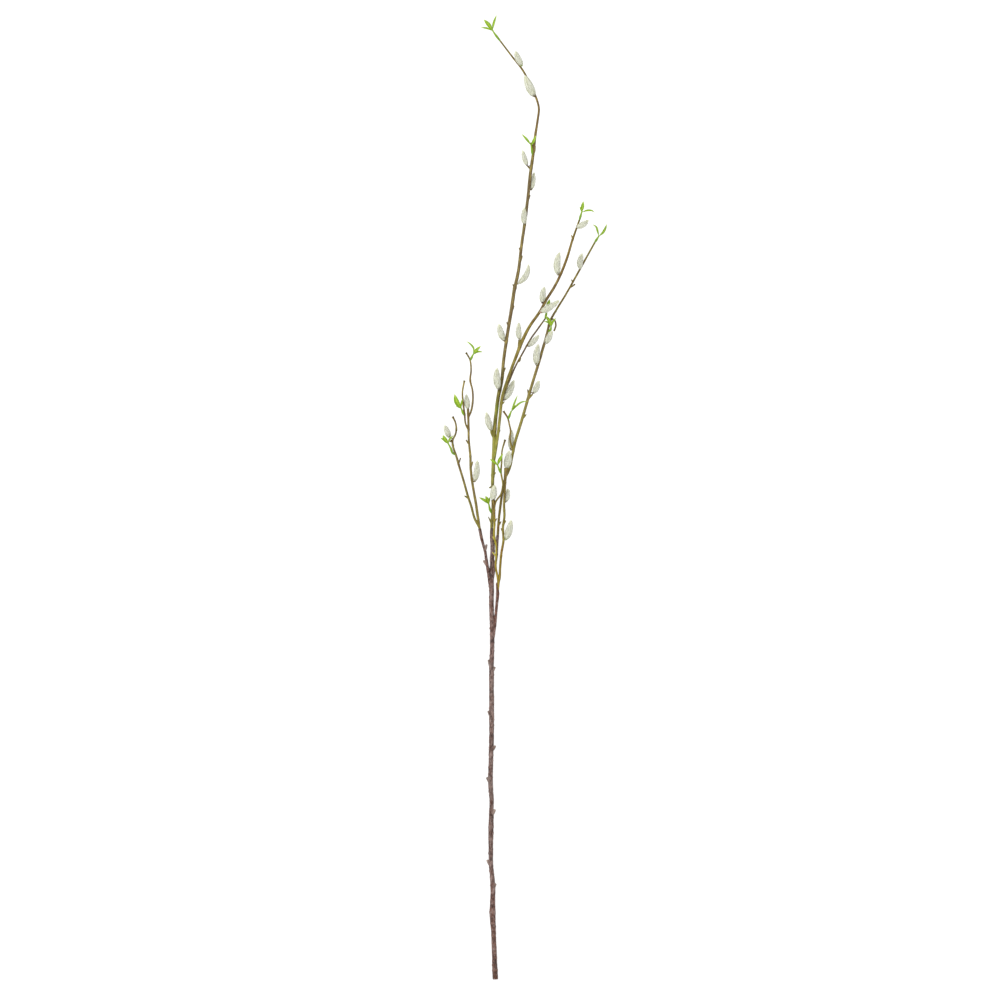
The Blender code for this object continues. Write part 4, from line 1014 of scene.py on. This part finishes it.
def scale_finish(tone):
    """A thin bud scale, darker at its rim."""
    scale = Finish("bud_scale", 0.5)
    specks = scale.grain(scale.carried("place", "Vector"), (1.4, 1.4, 0.5), 2.0)
    colour = scale.shaded(paint(*tone), specks * 0.7 + 0.7)
    rim_colour = paint(*(shade * 0.7 for shade in tone))
    scale.set("Base Color", scale.mix(scale.carried("reach") * 0.5, colour, rim_colour))
    return scale


CATKIN_CARRIES = ("tone", "reach", "share", "comb")
fluff_coat = fluff_finish()
scale_coats = {}
for number, (place, (base, tip, radius, bow)) in enumerate(CATKINS.items()):
    seat, root = seated(base, CATKIN_PROFILE[0][1] * radius + GAP)
    if place in CATKINS_ON_ENDS:
        seat = np.array(base)
    route = catkin_route(seat, tip, radius, bow)
    ahead = normalised(route[3, :3] - route[0, :3])
    scale_part = cup(seat, root, ahead, radius, number)
    coat = tufts(route, radius, np.random.default_rng(CATKIN_SEED + number))
    mesh = one_mesh("catkin_" + place + "_fluff", [core(route), coat, scale_part], CATKIN_CARRIES)
    scale_tone = CUP_TONES.get(place, CUP_BROWN)
    if scale_tone not in scale_coats:
        scale_coats[scale_tone] = scale_finish(scale_tone)
    mesh.materials.append(fluff_coat.material)
    mesh.materials.append(scale_coats[scale_tone].material)
    of_scale = np.arange(len(mesh.polygons)) >= len(mesh.polygons) - len(scale_part[1])
    mesh.polygons.foreach_set("material_index", of_scale.astype(int))
    catkin = placed(mesh.name, mesh)
    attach(catkin, "root")
    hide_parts("catkin_" + place)

# ---- The leafy shoots ----
# Small bright green mouldings: a stem that is wide where it is pushed onto the bark, and one to three thin
# young leaves with a folded midrib, side veins and a finely toothed edge.

# A shoot: its stem's places, and its leaves as (places along the midrib, width).
SHOOTS = {
    "top": ([(9.3, 1127, 6.6), (3.1, 1135.1, 6.2), (0.4, 1139.4, 6.2)], [
        ([(0.4, 1139, 6.3), (1.6, 1146, 7.4), (5.6, 1157.8, 8)], 2.8),
        ([(0.3, 1139, 6.3), (-3, 1144.4, 7.6), (-10, 1152.2, 7)], 4.8),
        ([(0.2, 1138.6, 6.1), (-5, 1141.2, 5.4), (-13.7, 1142.5, 4)], 2.2)]),
    "upper_left": ([(48.4, 991.4, 21.6), (46.8, 1002, 22.6)], [
        ([(46.9, 1001.2, 22.5), (42.6, 1007, 23.6), (35.5, 1014.8, 23)], 2.8),
        ([(46.9, 1001.2, 22.6), (49.4, 1005.2, 24.6), (53, 1013, 26)], 3.4)]),
    "inner_tip": ([(105.1, 911.95, 24), (108, 922.2, 23.4)], [
        ([(108, 921.6, 23.4), (108.7, 927.6, 24.4), (109.7, 934, 24)], 4.1),
        ([(107.8, 920.6, 23.4), (114.5, 922.9, 25), (120, 922.6, 25.4), (123.5, 920.2, 24)], 1.8),
        ([(107.9, 921.4, 23.4), (106.8, 924.4, 24.4), (105.3, 927.6, 25)], 1.4)]),
    "outer_tip": ([(123.8, 885.3, 1.85), (128.3, 892.2, 2.6)], [
        ([(128.2, 891.8, 2.6), (126.8, 897.8, 3.8), (124.8, 903.4, 4), (120.4, 906.1, 2.6)], 2.4),
        ([(128.1, 891.8, 2.6), (133.1, 896.4, 3.2), (135.8, 901.2, 2.4), (137.9, 906.7, 1)], 3)]),
    "outer_side": ([(70, 779.4, 17.8), (71, 785.4, 19.6)], [
        ([(71.4, 784, 20), (68.9, 790.2, 21.6), (64.1, 797, 21.6)], 4.1),
        ([(71.4, 784, 20), (73, 789.6, 21.6), (76.8, 793.6, 21.6)], 2.8),
        ([(71.3, 783.6, 20), (67.4, 788.6, 20.4), (62, 789.7, 22.6)], 1.6)]),
    "slim_tip": ([(64, 793.4, 18), (66.2, 804, 18.6)], [
        ([(66.1, 803.4, 18.6), (67.4, 809.6, 19.2), (69.4, 816.6, 18.6)], 4.4)]),
    "left_top": ([(-24.9, 745.4, 22.2), (-22.3, 750.8, 22.8)], [
        ([(-22.4, 750.2, 22.8), (-22.1, 757.6, 24.4), (-26, 762.6, 25), (-31.2, 766.2, 24)], 2.2),
        ([(-22.4, 750.2, 22.8), (-18.4, 755.6, 24), (-13.2, 760.2, 24)], 3.6),
        ([(-22.6, 749.8, 22.7), (-17.4, 753.2, 22.6), (-10.8, 753, 22)], 1.8)]),
    "left_middle": ([(-34.6, 679.4, 22.8), (-37.3, 686.2, 23.6)], [
        ([(-37.1, 685.6, 23.6), (-42, 692.6, 25), (-45, 702.6, 24)], 6),
        ([(-36.9, 685.2, 23.5), (-40.4, 687.4, 22.8), (-43.6, 688.4, 22)], 2.4),
        ([(-37.2, 685.6, 23.6), (-36.8, 691, 26.4), (-35.6, 697.2, 28.4)], 1.3)]),
    "left_low": ([(-46.8, 631.4, 6.6), (-49.6, 637.6, 7.4), (-53, 643.8, 8.2)], [
        ([(-52.8, 643.2, 8.2), (-56.2, 647.8, 9.4), (-59, 653.4, 9)], 4.8),
        ([(-52.8, 643.2, 8.2), (-56.8, 646.6, 8), (-62.2, 650.3, 7)], 1.8),
        ([(-52.6, 643, 8.2), (-51.2, 647.6, 10.4), (-46.2, 653.2, 11.6)], 2.2)]),
    "middle": ([(20.2, 674.6, 18.8), (23.2, 682.2, 19.8)], [
        ([(23.1, 681.6, 19.8), (26.4, 690.4, 21.6), (30.8, 701.6, 22.4)], 2.2),
        ([(23.3, 682, 19.8), (25.6, 686.8, 20.2), (29, 689.4, 20.4)], 1.7),
        ([(23, 681.2, 19.7), (29.4, 688.4, 19.2), (34.8, 692.5, 19), (43.4, 694.3, 19.6)], 1.7)]),
    "right_low": ([(9.6, 610, 24.4), (6.6, 617.4, 26)], [
        ([(6.7, 616.8, 26), (3.4, 620.6, 27), (-2.8, 624.6, 26.6)], 3.2),
        ([(6.7, 616.8, 26), (8.6, 622.6, 28.6), (13.4, 631.2, 31)], 3.6)]),
    "stem_side": ([(-1.6, 562, 6.4), (-4.1, 571.2, 7.6)], [
        ([(-4, 570.6, 7.6), (-8.6, 574.8, 8.4), (-15.7, 578.6, 8)], 3.2),
        ([(-4.1, 570.6, 7.6), (-5.4, 575.4, 9), (-7.8, 580.4, 9.6)], 4.4),
        ([(-4, 570.4, 7.6), (-3.4, 574.8, 8.8), (-2.2, 579.4, 10.6)], 1.4)]),
}
SHOOTS_ON_ENDS = ("top", "inner_tip", "outer_tip", "slim_tip")
SHOOT_SWEEP = 2.6  # how far back along the bark a shoot's stem starts
# A shoot's stem: (share of its length, radius). A green bulb round its foot draws in to a thin stalk.
SHOOT_GIRTHS = [(0, 0.9), (0.18, 1.3), (0.42, 1.5), (0.65, 1.15), (0.85, 0.9), (1, 0.95)]
SHOOT_SIDES = 16
SHOOT_SPACING = 0.2
STEM_EDGE = 0.3  # the stem is coloured as this far in from a leaf's middle, and as below the leaf's foot
STEM_SHARE = 0.6
LEAF_ROWS = 44
LEAF_POINTS = 9  # across half of one face of a leaf
LEAST_LEAF_WIDTH = 2.3
# A leaf's outline: (share of its length, share of its half width).
LEAF_HALF_WIDTHS = [(0, 0.16), (0.12, 0.45), (0.3, 0.86), (0.48, 1.0), (0.7, 0.8), (0.88, 0.42), (1, 0.03)]
LEAF_THICKNESS = (0.16, 0.06)  # half of it, in the middle and at the edge
LEAF_FOLD = 0.26
LEAF_CURL = (-0.12, 0.2)
LEAF_ROLL = 14  # degrees, either way
TEETH = 13
TOOTH_DEPTH = 0.05
VEINS = 8
VEIN_SLANT = 1.4
VEIN_START = 0.05
VEIN_DEPTH = 0.05
RIPPLE_DEPTH = 0.05
RIB_DEPTH = 0.1
RIB_HEIGHT = 0.16  # of the midrib under the leaf
RIB_WIDTH = 0.14
SHOOT_SEED = 300


def leaf(points, width, chance):
    """One leaf, a closed lens swept along its midrib: corners, faces, edge, share and vein."""
    route = smooth_route(points, SHOOT_SPACING)
    at = np.linspace(0, 1, LEAF_ROWS)
    spots = np.linspace(0, 1, len(route))
    route = np.stack([np.interp(at, spots, route[:, part]) for part in range(3)], axis=1)
    shape = smooth_route([(share, 0, 0, wide) for share, wide in LEAF_HALF_WIDTHS], 0.01)
    half = max(width, LEAST_LEAF_WIDTH) / 2 * np.interp(at, shape[:, 0], shape[:, 3]).clip(0.02)
    half = half * (1 + TOOTH_DEPTH * (at * TEETH % 1) * np.sin(math.pi * at))
    spread = np.linspace(-1, 1, 2 * LEAF_POINTS - 1)
    loop = np.concatenate([spread, spread[-2:0:-1]])
    face = np.concatenate([-np.ones(len(spread)), np.ones(len(spread) - 2)])
    face[[0, len(spread) - 1]] = 0
    edge = np.abs(loop)
    at, half = at[:, None], half[:, None]
    vein = np.cos((at * VEINS - edge * VEIN_SLANT) * 2 * math.pi).clip(0) ** 4 * (1 - edge)
    vein = vein * (edge > VEIN_START)
    rib = np.exp(-((loop / RIB_WIDTH) ** 2)) * np.minimum(half, 1)
    thick = LEAF_THICKNESS[1] + (LEAF_THICKNESS[0] - LEAF_THICKNESS[1]) * (1 - edge**2)
    thick = thick * (half / half.max()).clip(0.3)
    curl = chance.uniform(*LEAF_CURL)
    rise = half * (LEAF_FOLD * edge + curl * edge**2) - VEIN_DEPTH * vein - RIB_DEPTH * rib
    ripple = RIPPLE_DEPTH * half * np.sin(at * 9 + loop * 2) * edge
    lift = rise + ripple + thick * face - np.where(face < 0, RIB_HEIGHT, 0) * rib
    roll = math.radians(chance.uniform(-LEAF_ROLL, LEAF_ROLL)) * at
    across = half * loop
    rolled = (across * np.cos(roll) - lift * np.sin(roll), across * np.sin(roll) + lift * np.cos(roll))
    corners, faces = sweep(route, np.stack(rolled, axis=2))
    return corners, faces, np.tile(edge, LEAF_ROWS), np.repeat(at, len(loop)), vein.ravel()


def shoot_stem(places, on_end):
    """The stem of a shoot, grown out of the bark behind its first place: the same five things."""
    start = np.array(places[0])
    heading = normalised(np.array(places[1]) - start)
    foot = start - heading if on_end else seated(start - heading * SHOOT_SWEEP, 0)[1]
    line = smooth_route([foot, start, *places[1:]], SHOOT_SPACING)
    at = np.linspace(0, 1, len(line))
    radii = np.interp(at, *zip(*SHOOT_GIRTHS, strict=True))
    corners, faces = sweep(line, round_sections(radii, SHOOT_SIDES))
    share = np.repeat((at - 1) * STEM_SHARE, SHOOT_SIDES)
    return corners, faces, np.full(len(corners), STEM_EDGE), share, np.zeros(len(corners))


def leaf_finish():
    """Bright young green with a satin face: pale midrib and veins, darker stripes, pale leaf tips."""
    green = Finish("young_leaf_green", 0.42)
    green.set("Specular IOR Level", 0.35)
    edge, share, vein = (green.carried(name) for name in LEAF_CARRIES)
    blotches = green.grain(green.carried("place", "Vector"), (0.6, 0.6, 0.6), 2.0)
    colour = green.tinted(
        paint(134, 169, 22),
        (blotches, 0.35, 0.65, 1.0, (168, 197, 42)),
        (share, 0.35, -0.3, 0.75, (133, 166, 46)),
        (share, -0.2, -0.55, 0.7, (106, 142, 50)),
    )
    stripe = green.between(edge, 0.25, 0.5) * green.between(edge, 0.95, 0.6)
    colour = green.mix(stripe * 0.65, colour, paint(98, 144, 20))
    colour = green.tinted(colour, (edge, 0.14, 0.0, 0.5, (186, 212, 88)))
    colour = green.mix(vein * 0.35, colour, paint(182, 208, 80))
    green.set("Base Color", green.tinted(colour, (share, 0.7, 1.0, 0.6, (210, 222, 116))))
    green.set("Roughness", 0.5 - vein * 0.15)
    green.raised(blotches + vein, 0.00004)
    return green


LEAF_CARRIES = ("edge", "share", "vein")
leaf_green = leaf_finish()
for number, (place, (stem_places, leaves)) in enumerate(SHOOTS.items()):
    chance = np.random.default_rng(SHOOT_SEED + number)
    parts = [shoot_stem(stem_places, place in SHOOTS_ON_ENDS)]
    for points, width in leaves:
        parts.append(leaf(points, width, chance))
    mesh = one_mesh("shoot_" + place + "_leaves", parts, LEAF_CARRIES)
    mesh.materials.append(leaf_green.material)
    shoot = placed(mesh.name, mesh)
    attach(shoot, "root")
    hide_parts("shoot_" + place)
